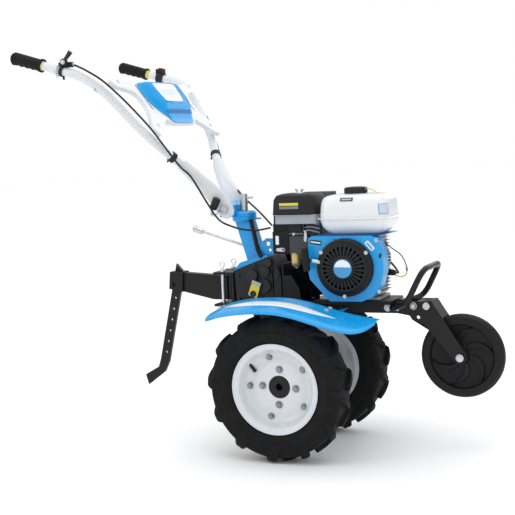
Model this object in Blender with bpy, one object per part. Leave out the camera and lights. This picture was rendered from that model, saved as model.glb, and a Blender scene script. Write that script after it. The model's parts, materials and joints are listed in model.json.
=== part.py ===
"""A petrol walk-behind motor cultivator: two driven wheels, rear depth coulter, front transport wheel.

Metres. +X points forward, +Y to the machine's left, +Z up. Shapes are drawn in machine coordinates,
with x = 0 on the drive axle and z = 0 on the ground; MACHINE then moves the axle to AXLE_X.
"""

from math import asin, atan2, cos, hypot, pi, radians, sin

import bmesh
import bpy
from mathutils import Matrix, Vector

# ---------------------------------------------------------------- driving dimensions
AXLE_X = 0.0807            # axle ahead of the middle of the overall length
GAP = 0.0005               # clearance between pieces that touch

TYRE_RADIUS = 0.2325       # over the lugs
AXLE_Z = TYRE_RADIUS
TRACK_HALF = 0.194         # wheel centre plane from the machine's middle
RIM_HALF_WIDTH = 0.045
RIM_FLANGE_RADIUS = 0.1425
LUG_COUNT = 12
LUG_HEIGHT = 0.014

FRONT_WHEEL = (0.531, 0.312)       # axle x, z
FRONT_WHEEL_RADIUS = 0.129
FRONT_WHEEL_HALF_WIDTH = 0.025
BRACKET_PIVOT = (0.392, 0.469)
BRACKET_LOCK = (0.432, 0.469)
CHEEK_INNER = 0.0355
CHEEK_OUTER = 0.0400

RAIL_OUTER = 0.0345
RAIL_Z = (0.444, 0.4765)
DECK_TOP = 0.486

CRANK = (0.204, 0.596)             # crankshaft x, z
INPUT_SHAFT = (-0.097, 0.528)      # gearbox input shaft x, z
BELT_Y = 0.128
STARTER = (0.2085, 0.597)
STARTER_RADIUS = 0.0896

CASE_HALF_WIDTH = 0.052
CASE_WALL = 0.006
CASE_TOP_REAR = (-0.205, 0.577)
CASE_TOP_FRONT = (-0.066, 0.627)

SWIVEL_X = -0.181
FLANGE_RADIUS = 0.040
FLANGE_PLANE_Z = 0.7515            # split between the fixed and the turning flange
COLUMN_HALF_WIDTH = 0.022
HEAD_HALF_WIDTH = 0.050
BAR_PIVOT = (-0.221, 0.778)        # handlebar height pivot x, z

BAR_RADIUS = 0.014
SOCKET_RADIUS = 0.0185
TUBE_WALL = 0.0028
GRIP_START = (-0.700, 0.334, 1.2590)
GRIP_DIRECTION = (-0.957, 0.0, 0.290)
GRIP_LENGTH = 0.120
GRIP_BORE_DEPTH = 0.108

HITCH_EAR_HALF_WIDTH = 0.058
HITCH_PIN_Y = 0.045
HITCH_PIN_X = -0.249
DRAWBAR_PIVOT_X = -0.232
DEPTH_BAR_TOP = (-0.4245, 0.586)   # middle of the bar's upper end
DEPTH_BAR_BOTTOM = (-0.503, 0.2635)
DEPTH_BAR_WIDTH = 0.033
DEPTH_BAR_HALF_THICKNESS = 0.006
DEPTH_HOLE_PITCH = 0.0385

CONSOLE_ORIGIN = Vector((-0.4505, 0.0, 1.103))
CONSOLE_UP = Vector((-0.597, 0.0, 0.802))       # up along the handlebars
CONSOLE_OUT = Vector((0.802, 0.0, 0.597))       # forward out of the handlebars' plane

# ---------------------------------------------------------------- scene and materials
for old in list(bpy.data.objects):
    bpy.data.objects.remove(old)

MACHINE = bpy.data.objects.new("machine_origin", None)
MACHINE.location = (AXLE_X, 0.0, 0.0)
bpy.context.collection.objects.link(MACHINE)


def material(name, colour, roughness, metallic=0.0):
    """A plain surface with the part's colour, roughness and metallic value."""
    made = bpy.data.materials.new(name)
    made.use_nodes = True
    shader = made.node_tree.nodes["Principled BSDF"]
    shader.inputs["Base Color"].default_value = (*colour, 1.0)
    shader.inputs["Roughness"].default_value = roughness
    shader.inputs["Metallic"].default_value = metallic
    return made


BLUE = material("blue_paint", (0.02, 0.30, 0.75), 0.3)
BLACK = material("black_paint", (0.012, 0.012, 0.013), 0.4)
WHITE = material("white_paint", (0.80, 0.82, 0.84), 0.3)
TANK_WHITE = material("white_tank", (0.80, 0.82, 0.83), 0.25)
PLASTIC = material("black_plastic", (0.02, 0.02, 0.022), 0.5)
GREY_PLASTIC = material("grey_plastic", (0.35, 0.38, 0.42), 0.5)
RUBBER = material("tyre_rubber", (0.018, 0.018, 0.018), 0.8)
GRIP = material("grip_rubber", (0.03, 0.03, 0.03), 0.7)
STEEL = material("zinc_steel", (0.6, 0.63, 0.66), 0.3, 1.0)
CAST = material("cast_aluminium", (0.5, 0.51, 0.52), 0.5, 1.0)
IRON = material("black_cast_iron", (0.015, 0.015, 0.016), 0.5)
BLUE_PLASTIC = material("blue_plastic", (0.02, 0.30, 0.75), 0.35)
WHITE_PLASTIC = material("white_plastic", (0.75, 0.78, 0.80), 0.4)
DARK_STEEL = material("dark_steel", (0.03, 0.03, 0.032), 0.6, 1.0)
RED = material("red_plastic", (0.7, 0.02, 0.01), 0.4)


# ---------------------------------------------------------------- shape helpers
def finish(name, mesh, surface, pivot):
    """Make the named object, with its origin on pivot and its round faces shaded smooth."""
    mesh.transform(Matrix.Translation(-Vector(pivot)))
    own = surface.copy()
    own.name = name + "_" + surface.name
    mesh.materials.clear()
    mesh.materials.append(own)
    mesh.shade_smooth()
    mesh.set_sharp_from_angle(angle=radians(35))
    made = bpy.data.objects.new(name, mesh)
    made.location = pivot
    made.parent = MACHINE
    bpy.context.collection.objects.link(made)
    return made


def as_object(shape, label):
    """A temporary object for a Boolean, made from a bmesh with its faces pointing out."""
    bmesh.ops.recalc_face_normals(shape, faces=shape.faces)
    mesh = bpy.data.meshes.new(label)
    shape.to_mesh(mesh)
    shape.free()
    made = bpy.data.objects.new(label, mesh)
    bpy.context.collection.objects.link(made)
    return made


def solid(name, surface, shapes, cuts=(), pivot=(0.0, 0.0, 0.0)):
    """Join the shapes into one solid, take the cuts out of it, and place it as a named piece."""
    body = as_object(shapes[0], name + "_blank")
    tools = [(as_object(shape, name + "_add"), "UNION") for shape in shapes[1:]]
    tools += [(as_object(shape, name + "_cut"), "DIFFERENCE") for shape in cuts]
    for tool, operation in tools:
        step = body.modifiers.new(operation, "BOOLEAN")
        step.operation = operation
        step.solver = "EXACT"
        step.object = tool
    depsgraph = bpy.context.evaluated_depsgraph_get()
    mesh = bpy.data.meshes.new_from_object(body.evaluated_get(depsgraph))
    for tool, operation in tools:
        bpy.data.objects.remove(tool)
    bpy.data.objects.remove(body)
    mesh.name = name
    return finish(name, mesh, surface, pivot)


def box(low, high):
    """A block between two corners."""
    shape = bmesh.new()
    bmesh.ops.create_cube(shape, size=1.0)
    size = Vector(high) - Vector(low)
    middle = (Vector(high) + Vector(low)) / 2
    bmesh.ops.scale(shape, verts=shape.verts, vec=size)
    bmesh.ops.translate(shape, verts=shape.verts, vec=middle)
    return shape


def skin_rings(shape, rings, closed_path=False):
    """Bridge rings of vertices of equal length into walls."""
    count = len(rings)
    for i in range(count if closed_path else count - 1):
        a = rings[i]
        b = rings[(i + 1) % count]
        for j in range(len(a)):
            k = (j + 1) % len(a)
            shape.faces.new((a[j], a[k], b[k], b[j]))


def loft(sections):
    """A solid through sections, each a list of points with the same count, capped at both ends."""
    shape = bmesh.new()
    rings = [[shape.verts.new(point) for point in section] for section in sections]
    skin_rings(shape, rings)
    shape.faces.new(rings[0])
    shape.faces.new(rings[-1])
    bmesh.ops.triangulate(shape, faces=[face for face in shape.faces if len(face.verts) > 4])
    return shape


def prism(outline, low, high, axis="Y"):
    """Extrude an outline along an axis: (x, z) along Y, (x, y) along Z, or (y, z) along X."""
    place = { "Y": lambda a, b, c: (a, c, b), "Z": lambda a, b, c: (a, b, c), "X": lambda a, b,
             c: (c, a, b), }[axis]
    return loft([[place(a, b, c) for a, b in outline] for c in (low, high)])


def lathe(profile, centre, direction=(0.0, 1.0, 0.0), sides=20, ring=False):
    """Turn (along, radius) points about an axis. A ring profile closes; others start and end on the axis."""
    axis = Vector(direction).normalized()
    across = axis.cross(Vector((0.0, 0.0, 1.0)))
    if across.length < 0.1:
        across = axis.cross(Vector((1.0, 0.0, 0.0)))
    across.normalize()
    other = axis.cross(across)
    shape = bmesh.new()
    origin = Vector(centre)
    rings = []
    for along, radius in profile:
        if radius < 1e-9:
            rings.append(shape.verts.new(origin + axis * along))
            continue
        points = []
        for i in range(sides):
            angle = 2 * pi * i / sides
            spoke = across * cos(angle) + other * sin(angle)
            points.append(shape.verts.new(origin + axis * along + spoke * radius))
        rings.append(points)
    count = len(rings)
    for i in range(count if ring else count - 1):
        a = rings[i]
        b = rings[(i + 1) % count]
        for j in range(sides):
            k = (j + 1) % sides
            if isinstance(a, list) and isinstance(b, list):
                shape.faces.new((a[j], a[k], b[k], b[j]))
            elif isinstance(a, list):
                shape.faces.new((a[j], a[k], b))
            elif isinstance(b, list):
                shape.faces.new((a, b[k], b[j]))
    return shape


def cylinder(start, end, radius, sides=16):
    """A round bar between two points."""
    start = Vector(start)
    span = Vector(end) - start
    profile = [(0.0, 0.0), (0.0, radius), (span.length, radius), (span.length, 0.0)]
    return lathe(profile, start, span, sides)


def smooth_path(points, steps):
    """Points on a Catmull-Rom curve through the given ones."""
    ends = [points[0] * 2 - points[1]] + list(points) + [points[-1] * 2 - points[-2]]
    path = []
    for i in range(1, len(ends) - 2):
        p0, p1, p2, p3 = ends[i - 1:i + 3]
        for step in range(steps):
            t = step / steps
            path.append(0.5 * (2 * p1 + (p2 - p0) * t + (2 * p0 - 5 * p1 + 4 * p2 - p3) * t ** 2
                               + (3 * p1 - p0 - 3 * p2 + p3) * t ** 3))
    path.append(points[-1].copy())
    return path


def tube(points, radius, sides=10, steps=2):
    """A round bar along a smooth curve. radius is one number, or one for each given point."""
    points = [Vector(point) for point in points]
    radii = radius if isinstance(radius, (list, tuple)) else [radius] * len(points)
    path = smooth_path(points, steps)
    sections = []
    across = None
    for i, point in enumerate(path):
        before = path[max(i - 1, 0)]
        after = path[min(i + 1, len(path) - 1)]
        along = (after - before).normalized()
        if across is None:
            across = along.cross(Vector((0.0, 0.0, 1.0)) if abs(along.z) < 0.9 else Vector((1.0, 0.0, 0.0)))
        across = (across - along * across.dot(along)).normalized()
        other = along.cross(across)
        place = i / steps
        first = min(int(place), len(radii) - 2)
        size = radii[first] + (radii[first + 1] - radii[first]) * (place - first)
        sections.append([point + (across * cos(2 * pi * j / sides)
                                  + other * sin(2 * pi * j / sides)) * size for j in range(sides)])
    return loft(sections)


def arc(centre, radius, start, end, steps):
    """Points of an arc in a plane, angles in degrees."""
    return [(centre[0] + radius * cos(radians(start + (end - start) * i / steps)), centre[1]
             + radius * sin(radians(start + (end - start) * i / steps))) for i in range(steps + 1)]


def inset(outline, distance):
    """Move every side of an outline, listed anticlockwise, inwards by a distance."""
    moved = []
    for i, point in enumerate(outline):
        before = Vector(outline[i - 1])
        here = Vector(point)
        after = Vector(outline[(i + 1) % len(outline)])
        first = (here - before).normalized()
        second = (after - here).normalized()
        normal = Vector((-first.y, first.x)) + Vector((-second.y, second.x))
        moved.append(tuple(here + normal * (distance * 2 / normal.length_squared)))
    return moved


def belt_loop(radius_rear, radius_front, steps=10):
    """The outline round the two pulleys, anticlockwise seen from the right-hand side."""
    rear = Vector(INPUT_SHAFT)
    front = Vector(CRANK)
    span = front - rear
    heading = atan2(span.y, span.x)
    lean = asin((radius_rear - radius_front) / span.length)
    top = heading + pi / 2 - lean
    bottom = heading - pi / 2 + lean
    points = []
    for centre, radius, start, end in ((front, radius_front, bottom, top),
                                       (rear, radius_rear, top, bottom + 2 * pi)):
        for i in range(steps + 1):
            angle = start + (end - start) * i / steps
            points.append((centre.x + radius * cos(angle), centre.y + radius * sin(angle)))
    return points


def rounded_rectangle(low, high, corner, steps=3):
    """An outline with round corners, anticlockwise."""
    points = []
    for cx, cy, start in ((high[0] - corner, high[1] - corner, 0),
                          (low[0] + corner, high[1] - corner, 90),
                          (low[0] + corner, low[1] + corner, 180),
                          (high[0] - corner, low[1] + corner, 270)):
        points += arc((cx, cy), corner, start, start + 90, steps)
    return points


def at(point, y):
    """A machine point from an (x, z) pair and a y."""
    return (point[0], y, point[1])


def across_y(point, low, high, radius, sides=16):
    """A bar or a hole along Y."""
    return cylinder(at(point, low), at(point, high), radius, sides)


# ---------------------------------------------------------------- drive wheels
def tyre(side, name):
    """An agricultural tyre: an open casing with two staggered rows of slanted lugs."""
    steps = LUG_COUNT * 3
    base = TYRE_RADIUS - LUG_HEIGHT
    outer = [(-0.037, 0.1285, 0), (-0.040, 0.1445, 0), (-0.053, 0.172, 0), (-0.0515, 0.199, 1),
             (-0.046, base - 0.003, 1), (-0.012, base, 2), (0.012, base, 3), (0.046, base - 0.003, 4),
             (0.0515, 0.199, 4), (0.053, 0.172, 0), (0.040, 0.1445, 0), (0.037, 0.1285, 0)]
    inner = [(0.031, 0.1285, 0), (0.032, 0.150, 0), (0.042, 0.178, 0), (0.028, 0.203, 0),
             (-0.028, 0.203, 0), (-0.042, 0.178, 0), (-0.032, 0.150, 0), (-0.031, 0.1285, 0)]
    phase = {1: 0, 2: 1, 3: 2, 4: 0}
    shape = bmesh.new()
    rings = []
    for offset, radius, row in outer + inner:
        points = []
        for i in range(steps):
            angle = 2 * pi * i / steps
            shift = phase.get(row, 0) + (1 if row in (3, 4) else 0)
            lug = row and (i + shift) % 3 != 0
            reach = min(radius + LUG_HEIGHT, TYRE_RADIUS) if lug and radius > 0.21 else radius
            reach += 0.004 if lug and radius < 0.21 else 0.0
            points.append(shape.verts.new((reach * sin(angle), side * TRACK_HALF + offset * side, AXLE_Z
                                           + reach * cos(angle))))
        rings.append(points)
    skin_rings(shape, rings, closed_path=True)
    solid(name, RUBBER, [shape], pivot=(0.0, 0.0, AXLE_Z))


def rim(side, name):
    """A pressed steel wheel: drop-centre barrel and a dished disc with a hole for the hub."""
    edge = RIM_HALF_WIDTH
    flange = RIM_FLANGE_RADIUS
    profile = [(0.0030, 0.0358), (0.0030, 0.100), (0.0100, 0.112), (0.0370, 0.1225),
               (edge, flange - 0.003), (edge, flange), (0.0425, flange), (0.0385, 0.1265),
               (0.018, 0.1255), (0.012, 0.118), (-0.012, 0.118), (-0.018, 0.1255), (-0.0385, 0.1265),
               (-0.0425, flange), (-edge, flange), (-edge, flange - 0.003), (-0.0400, 0.1235),
               (-0.016, 0.1222), (-0.009, 0.1140), (0.0, 0.100), (0.0, 0.0358)]
    shape = lathe(profile, (0.0, side * TRACK_HALF, AXLE_Z), (0.0, side, 0.0), 28, ring=True)
    solid(name, WHITE, [shape], pivot=(0.0, 0.0, AXLE_Z))


def drive_axle():
    """The axle through the gear case, with a flanged hub at each end that carries a wheel."""
    half = [(0.175, 0.0), (0.175, 0.0115), (0.1985, 0.0115), (0.1985, 0.034), (0.1935, 0.034),
            (0.1935, 0.066), (0.1865, 0.066), (0.1865, 0.0225), (0.056, 0.0225), (0.056, 0.0125)]
    profile = [(-along, radius) for along, radius in half]
    profile += [(along, radius) for along, radius in reversed(half)]
    solid("drive_axle", BLACK, [lathe(profile, (0.0, 0.0, AXLE_Z), sides=32)], pivot=(0.0, 0.0, AXLE_Z))


drive_axle()
for side, word in ((-1, "right"), (1, "left")):
    tyre(side, "tyre_" + word)
    rim(side, "rim_" + word)


# ---------------------------------------------------------------- gear case
def case_outline():
    """The case's side view: an upper box for the gear shafts, and an arm down to the axle."""
    foot = arc((0.0, AXLE_Z), 0.070, -155, 30, 8)
    rear = [CASE_TOP_REAR, (-0.198, 0.470), (-0.150, 0.455)]
    return rear + foot + [(-0.040, 0.436), (-0.040, 0.560), CASE_TOP_FRONT]


def gear_case():
    """Two cast halves that meet in the middle plane, each hollow and open towards the other."""
    outline = case_outline()
    cavity = inset(outline, CASE_WALL)
    wall = CASE_HALF_WIDTH - CASE_WALL
    axle_hole = across_y((0.0, AXLE_Z), -0.08, 0.08, 0.0140)
    bosses = [((-0.137, 0.563), 0.019), ((-0.091, 0.576), 0.016), ((-0.079, 0.603), 0.013),
              (INPUT_SHAFT, 0.023)]
    near = [prism(outline, -CASE_HALF_WIDTH, -GAP / 2)]
    near += [across_y(place, -0.063, -CASE_HALF_WIDTH + 0.003, radius, 14) for place, radius in bosses]
    near.append(across_y((0.0, AXLE_Z), -0.0555, -CASE_HALF_WIDTH + 0.003, 0.032))
    solid("gear_case_right", IRON, near, [prism(cavity, -wall, 0.02), axle_hole])
    far = [prism(outline, GAP / 2, CASE_HALF_WIDTH),
           across_y(INPUT_SHAFT, CASE_HALF_WIDTH - 0.003, 0.060, 0.025)]
    far.append(across_y((0.0, AXLE_Z), CASE_HALF_WIDTH - 0.003, 0.0555, 0.032))
    axle_hole = across_y((0.0, AXLE_Z), -0.08, 0.08, 0.0140)
    shaft_hole = across_y(INPUT_SHAFT, 0.03, 0.08, 0.0115)
    solid("gear_case_left", IRON, far, [prism(cavity, -0.02, wall), axle_hole, shaft_hole])


gear_case()


# ---------------------------------------------------------------- frame, bumper and front transport wheel
def engine_frame():
    """Two rails with a deck for the engine, and an upright plate that bolts to the gear case."""
    bottom, top = RAIL_Z
    shapes = [box((-0.030, -0.052, bottom + 0.004), (-0.0395 + 0.004, 0.052, 0.600))]
    shapes.append(box((0.075, -0.068, top - 0.002), (0.328, 0.068, DECK_TOP)))
    for side in (-1, 1):
        inner = side * (RAIL_OUTER - 0.005)
        outer = side * RAIL_OUTER
        shapes.append(box((-0.033, min(inner, outer), bottom), (0.4425, max(inner, outer), top)))
        ear = [(-0.0345, 0.450), (0.028, 0.450), (0.022, 0.520), (-0.005, 0.562), (-0.0345, 0.562)]
        shapes.append(prism(ear, side * 0.0465, side * 0.0510))
    shapes.append(box((-0.0325, -0.049, 0.450), (0.026, 0.049, 0.455)))
    shapes.append(box((0.300, -0.032, bottom + 0.0005), (0.372, 0.032, bottom + 0.0055)))
    slot = box((BRACKET_LOCK[0] - 0.0055, -0.06, BRACKET_LOCK[1] - 0.0055),
               (BRACKET_LOCK[0] + 0.0055, 0.06, 0.50))
    shapes.append(across_y(BRACKET_PIVOT, -0.0455, 0.0455, 0.0050, 12))
    for side in (-1, 1):
        shapes.append(across_y(BRACKET_PIVOT, side * 0.0405, side * 0.0475, 0.0100, 6))
        shapes.append(across_y((0.3130, 0.4610), side * 0.0330, side * 0.0375, 0.0070, 10))
    solid("engine_frame", BLACK, shapes, [slot])


def front_bracket():
    """The swinging fork: two cheeks, a top web and a sloped front web, with the wheel's axle bolt."""
    tip = arc(FRONT_WHEEL, 0.021, 40, -140, 6)
    cheek = [(0.339, 0.481), (0.328, 0.447), (0.378, 0.438), (0.385, 0.426), (0.407, 0.421),
             (0.422, 0.412), (0.437, 0.394)] + list(reversed(tip)) + [(0.479, 0.433), (0.446, 0.4835)]
    shapes = []
    for side in (-1, 1):
        shapes.append(prism(cheek, side * CHEEK_INNER, side * CHEEK_OUTER))
    front = [(0.4795, 0.4320), (0.4470, 0.4835), (0.4425, 0.4810), (0.4750, 0.4295)]
    shapes.append(prism(front, -0.0395, 0.0395))
    shapes.append(box((0.402, -0.0393, 0.4795), (0.4455, 0.0393, 0.4830)))
    shapes.append(across_y(FRONT_WHEEL, -0.0480, 0.0480, 0.0060, 12))
    for side in (-1, 1):
        shapes.append(across_y(FRONT_WHEEL, side * 0.0395, side * 0.0465, 0.0095, 12))
    shapes.append(across_y(BRACKET_LOCK, -0.0490, 0.0490, 0.0040, 10))
    for side in (-1, 1):
        shapes.append(across_y(BRACKET_LOCK, side * 0.0395, side * 0.0455, 0.0080, 10))
    hole = across_y(BRACKET_PIVOT, -0.1, 0.1, 0.0056, 12)
    ear_hole = across_y((0.405, 0.4335), -0.1, 0.1, 0.0055, 10)
    solid("front_bracket", BLACK, shapes, [hole, ear_hole], at(BRACKET_PIVOT, 0.0))


def front_wheel():
    """A solid moulded wheel with a dished web."""
    half = [(0.033, 0.0068), (0.033, 0.019), (0.014, 0.024), (0.014, 0.098), (0.0235, 0.103),
            (0.0235, 0.119), (0.019, FRONT_WHEEL_RADIUS - 0.001), (0.004, FRONT_WHEEL_RADIUS)]
    profile = half + [(-along, radius) for along, radius in reversed(half)]
    shape = lathe(profile, at(FRONT_WHEEL, 0.0), sides=32, ring=True)
    solid("front_wheel", PLASTIC, [shape], pivot=at(FRONT_WHEEL, 0.0))


def bumper():
    """A tube hoop bolted to the outside of both rails."""
    side = [(0.306, 0.0470, 0.4635), (0.333, 0.0545, 0.4640), (0.358, 0.0760, 0.4735),
            (0.380, 0.0960, 0.4840), (0.397, 0.1010, 0.5040), (0.410, 0.1010, 0.5280),
            (0.424, 0.1000, 0.5550), (0.4345, 0.0930, 0.5750), (0.4405, 0.0720, 0.5860),
            (0.4425, 0.0400, 0.5880)]
    points = [(x, -y, z) for x, y, z in side] + [(0.4425, 0.0, 0.5880)] + side[::-1]
    solid("bumper_hoop", BLACK, [tube(points, 0.009, 10)])


engine_frame()
front_bracket()
front_wheel()
bumper()


# ---------------------------------------------------------------- fenders
def fender(side, name):
    """A pressed fender with a rolled outer edge and S-curved ends, on two flat stays."""
    stations = [(-0.208, 0.4650, 0.207, 0.256), (-0.200, 0.4700, 0.174, 0.288),
                (-0.180, 0.4800, 0.158, 0.303), (-0.150, 0.4915, 0.151, 0.311),
                (-0.107, 0.5000, 0.150, 0.312), (-0.040, 0.5065, 0.150, 0.312),
                (0.030, 0.5060, 0.150, 0.312), (0.095, 0.4960, 0.150, 0.312),
                (0.160, 0.4780, 0.150, 0.312), (0.215, 0.4640, 0.150, 0.312),
                (0.265, 0.4540, 0.151, 0.311), (0.292, 0.4510, 0.158, 0.302),
                (0.313, 0.4500, 0.168, 0.280), (0.330, 0.4510, 0.190, 0.240)]
    shape = [(0.0, -0.006), (0.06, 0.0), (0.42, 0.0), (0.74, -0.008), (0.94, -0.017), (1.0, -0.028)]
    thickness = 0.0022
    sections = []
    for x, crown, inner, outer in stations:
        width = outer - inner
        scale = width / 0.162
        upper = [(x, side * (inner + t * width), crown + drop * scale) for t, drop in shape]
        lower = [(x, y + side * lean, z - thickness) for (x, y, z),
                 lean in zip(reversed(upper), (-0.003, -0.001, -0.001, -0.001, -0.001, 0.001))]
        sections.append(upper + lower)
    shapes = [loft(sections)]
    front = [(0.0350, 0.4555), (0.105, 0.4555), (0.185, 0.4700), (0.185, 0.4745), (0.104, 0.4600),
             (0.0350, 0.4600)]
    rear = [(0.0525, 0.4705), (0.210, 0.4705), (0.210, 0.4755), (0.0525, 0.4755)]
    for outline, low, high in ((front, 0.160, 0.176), (rear, -0.196, -0.180)):
        outline = [(side * y, z) for y, z in outline]
        shapes.append(prism(outline, low, high, "X"))
    solid(name, BLUE, shapes)


fender(-1, "fender_right")
fender(1, "fender_left")


# ---------------------------------------------------------------- hitch, drawbar and depth coulter
def hitch():
    """A box with two ears for the drawbar's pivot and for a locking pin on each side of the drawbar."""
    shapes = [box((-0.2120, -HITCH_EAR_HALF_WIDTH, 0.4600), (-0.2055, HITCH_EAR_HALF_WIDTH, 0.5725))]
    for low, high in ((0.4600, 0.4680), (0.5645, 0.5725)):
        shapes.append(box((-0.2780, -HITCH_EAR_HALF_WIDTH + 0.0005, low + 0.0001),
                          (-0.2065, HITCH_EAR_HALF_WIDTH - 0.0005, high - 0.0001)))
    shapes.append(cylinder((DRAWBAR_PIVOT_X, 0.0, 0.4650), (DRAWBAR_PIVOT_X, 0.0, 0.5680), 0.0080, 14))
    cuts = [cylinder((HITCH_PIN_X, side * HITCH_PIN_Y, 0.44), (HITCH_PIN_X, side * HITCH_PIN_Y, 0.60),
                     0.0068, 12) for side in (-1, 1)]
    solid("hitch_box", BLACK, shapes, cuts)


def hitch_pin(side, name):
    """A headed locking pin."""
    foot = (HITCH_PIN_X, side * HITCH_PIN_Y, 0.4570)
    profile = [(0.0, 0.0), (0.0, 0.0045), (0.003, 0.0060), (0.1160, 0.0060), (0.1160, 0.0100),
               (0.1210, 0.0100), (0.1230, 0.0080), (0.1230, 0.0)]
    solid(name, STEEL, [lathe(profile, foot, (0.0, 0.0, 1.0), 12)], pivot=foot)


def depth_bar_direction():
    top = Vector(at(DEPTH_BAR_TOP, 0.0))
    bottom = Vector(at(DEPTH_BAR_BOTTOM, 0.0))
    return (top - bottom).normalized()


def drawbar():
    """The arm from the hitch to the coulter's clamp, which is a sleeve that the coulter slides in."""
    up = depth_bar_direction()
    arm = [(-0.4150, 0.5030), (-0.3000, 0.4770), (-0.2480, 0.4770), (-0.2480, 0.5570), (-0.3000, 0.5590),
           (-0.4150, 0.5665)]
    clamp = [(-0.4620, 0.5120), (-0.4120, 0.5020), (-0.4080, 0.5690), (-0.4560, 0.5700)]
    shapes = [prism(arm, -0.0150, 0.0150), prism(clamp, -0.0240, 0.0240)]
    shapes.append(cylinder((DRAWBAR_PIVOT_X, 0.0, 0.4775), (DRAWBAR_PIVOT_X, 0.0, 0.5565), 0.0180, 16))
    shapes.append(across_y((-0.4490, 0.5240), -0.0320, -0.0100, 0.0075, 6))
    hole = cylinder((DRAWBAR_PIVOT_X, 0.0, 0.45), (DRAWBAR_PIVOT_X, 0.0, 0.60), 0.0088, 14)
    middle = Vector(at(DEPTH_BAR_TOP, 0.0)) - up * 0.045
    half = DEPTH_BAR_WIDTH / 2 + GAP
    side = Vector((up.z, 0.0, -up.x)) * half
    corners = [middle - side - up * 0.09, middle + side - up * 0.09, middle + side + up * 0.09,
               middle - side + up * 0.09]
    thick = DEPTH_BAR_HALF_THICKNESS + GAP
    sleeve = prism([(p.x, p.z) for p in corners], -thick, thick)
    solid("drawbar", BLACK, shapes, [hole, sleeve], (DRAWBAR_PIVOT_X, 0.0, 0.517))


def depth_bar():
    """The coulter: a flat bar with a row of height holes and a forward-swept foot."""
    up = depth_bar_direction()
    top = Vector(at(DEPTH_BAR_TOP, 0.0))
    bottom = Vector(at(DEPTH_BAR_BOTTOM, 0.0))
    side = Vector((up.z, 0.0, -up.x)) * (DEPTH_BAR_WIDTH / 2)
    rear_top = top - side + up * 0.006
    front_top = top + side - up * 0.016
    points = [rear_top, bottom - side]
    outline = [(p.x, p.z) for p in points] + [(-0.529, 0.2400), (-0.5810, 0.2110), (-0.5710, 0.1765),
                                              (-0.5050, 0.2240)]
    outline += [(p.x, p.z) for p in (bottom + side, front_top)]
    shape = prism(outline, -DEPTH_BAR_HALF_THICKNESS, DEPTH_BAR_HALF_THICKNESS)
    holes = []
    for i in range(6):
        place = top - up * (0.1105 + DEPTH_HOLE_PITCH * i)
        holes.append(across_y((place.x, place.z), -0.02, 0.02, 0.0048, 8))
    solid("depth_bar", BLACK, [shape], holes, tuple(top))


hitch()
hitch_pin(-1, "hitch_pin_right")
hitch_pin(1, "hitch_pin_left")
drawbar()
depth_bar()


# ---------------------------------------------------------------- steering column and shift rod
SHIFT_DIRECTION = Vector((0.953, 0.0, -0.303))
SHIFT_MIDDLE = Vector((-0.207, 0.035, 0.653))


def steering_column():
    """The welded column: wedge on the gear case, box tube, lower serrated flange and selector plate."""
    wedge = [(-0.2100, 0.5765), (-0.0850, 0.6215), (-0.0870, 0.6280), (-0.1100, 0.6245), (-0.1840, 0.6035)]
    column = [(-0.1640, 0.5960), (-0.1160, 0.6150), (-0.1510, 0.7370), (-0.2050, 0.7370)]
    plate = [(-0.1180, 0.6170), (-0.0900, 0.6210), (-0.0680, 0.6370), (-0.0660, 0.6800),
             (-0.0920, 0.6810), (-0.1200, 0.6600)]
    guide = SHIFT_MIDDLE + SHIFT_DIRECTION * 0.046
    shapes = [prism(wedge, -0.0450, 0.0450), prism(column, -COLUMN_HALF_WIDTH, COLUMN_HALF_WIDTH)]
    shapes.append(lathe([(0.7350, 0.0), (0.7350, 0.036), (0.7400, FLANGE_RADIUS),
                         (FLANGE_PLANE_Z - GAP, FLANGE_RADIUS), (FLANGE_PLANE_Z - GAP, 0.0)],
                        (SWIVEL_X, 0.0, 0.0), (0.0, 0.0, 1.0), 20))
    shapes.append(box((SWIVEL_X + 0.030, -0.010, 0.7405), (SWIVEL_X + 0.056, 0.010, 0.7455)))
    shapes.append(prism(plate, -0.0350, -0.0310))
    shapes.append(box((guide.x - 0.006, 0.0255, 0.600), (guide.x + 0.006, 0.0445, guide.z + 0.011)))
    rod = cylinder(SHIFT_MIDDLE - SHIFT_DIRECTION * 0.1, SHIFT_MIDDLE + SHIFT_DIRECTION * 0.1, 0.0053, 10)
    cuts = [rod, across_y((-0.0860, 0.6630), -0.05, -0.02, 0.0070, 10),
            across_y((-0.0800, 0.6430), -0.05, -0.02, 0.0050, 10)]
    solid("steering_column", BLUE, shapes, cuts)


def shift_rod():
    """The gear selector rod with its knob."""
    knob = SHIFT_MIDDLE - SHIFT_DIRECTION * 0.189
    profile = [(0.0, 0.0), (0.0, 0.0085), (0.004, 0.0115), (0.030, 0.0105), (0.038, 0.0080),
               (0.038, 0.0045), (0.254, 0.0045), (0.254, 0.0)]
    solid("shift_rod", STEEL, [lathe(profile, knob, SHIFT_DIRECTION, 12)], pivot=tuple(knob))


def swivel_head():
    """The turning head: upper flange and the block that carries the handlebars' pivot."""
    block = [(-0.2460, 0.7525), (-0.1960, 0.7525), (-0.1980, 0.7900), (-0.2080, 0.8000),
             (-0.2340, 0.8000), (-0.2460, 0.7880)]
    shapes = [lathe([(FLANGE_PLANE_Z, 0.0), (FLANGE_PLANE_Z, FLANGE_RADIUS), (0.7630, FLANGE_RADIUS),
                     (0.7680, 0.036), (0.7680, 0.0)], (SWIVEL_X, 0.0, 0.0), (0.0, 0.0, 1.0), 20)]
    shapes.append(prism(block, -HEAD_HALF_WIDTH, HEAD_HALF_WIDTH))
    cuts = [across_y(BAR_PIVOT, -0.1, 0.1, 0.0072, 12)]
    cuts.append(cylinder((SWIVEL_X, 0.0, 0.70), (SWIVEL_X, 0.0, 0.80), 0.0078, 12))
    solid("swivel_head", BLUE, shapes, cuts, (SWIVEL_X, 0.0, FLANGE_PLANE_Z))


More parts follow.
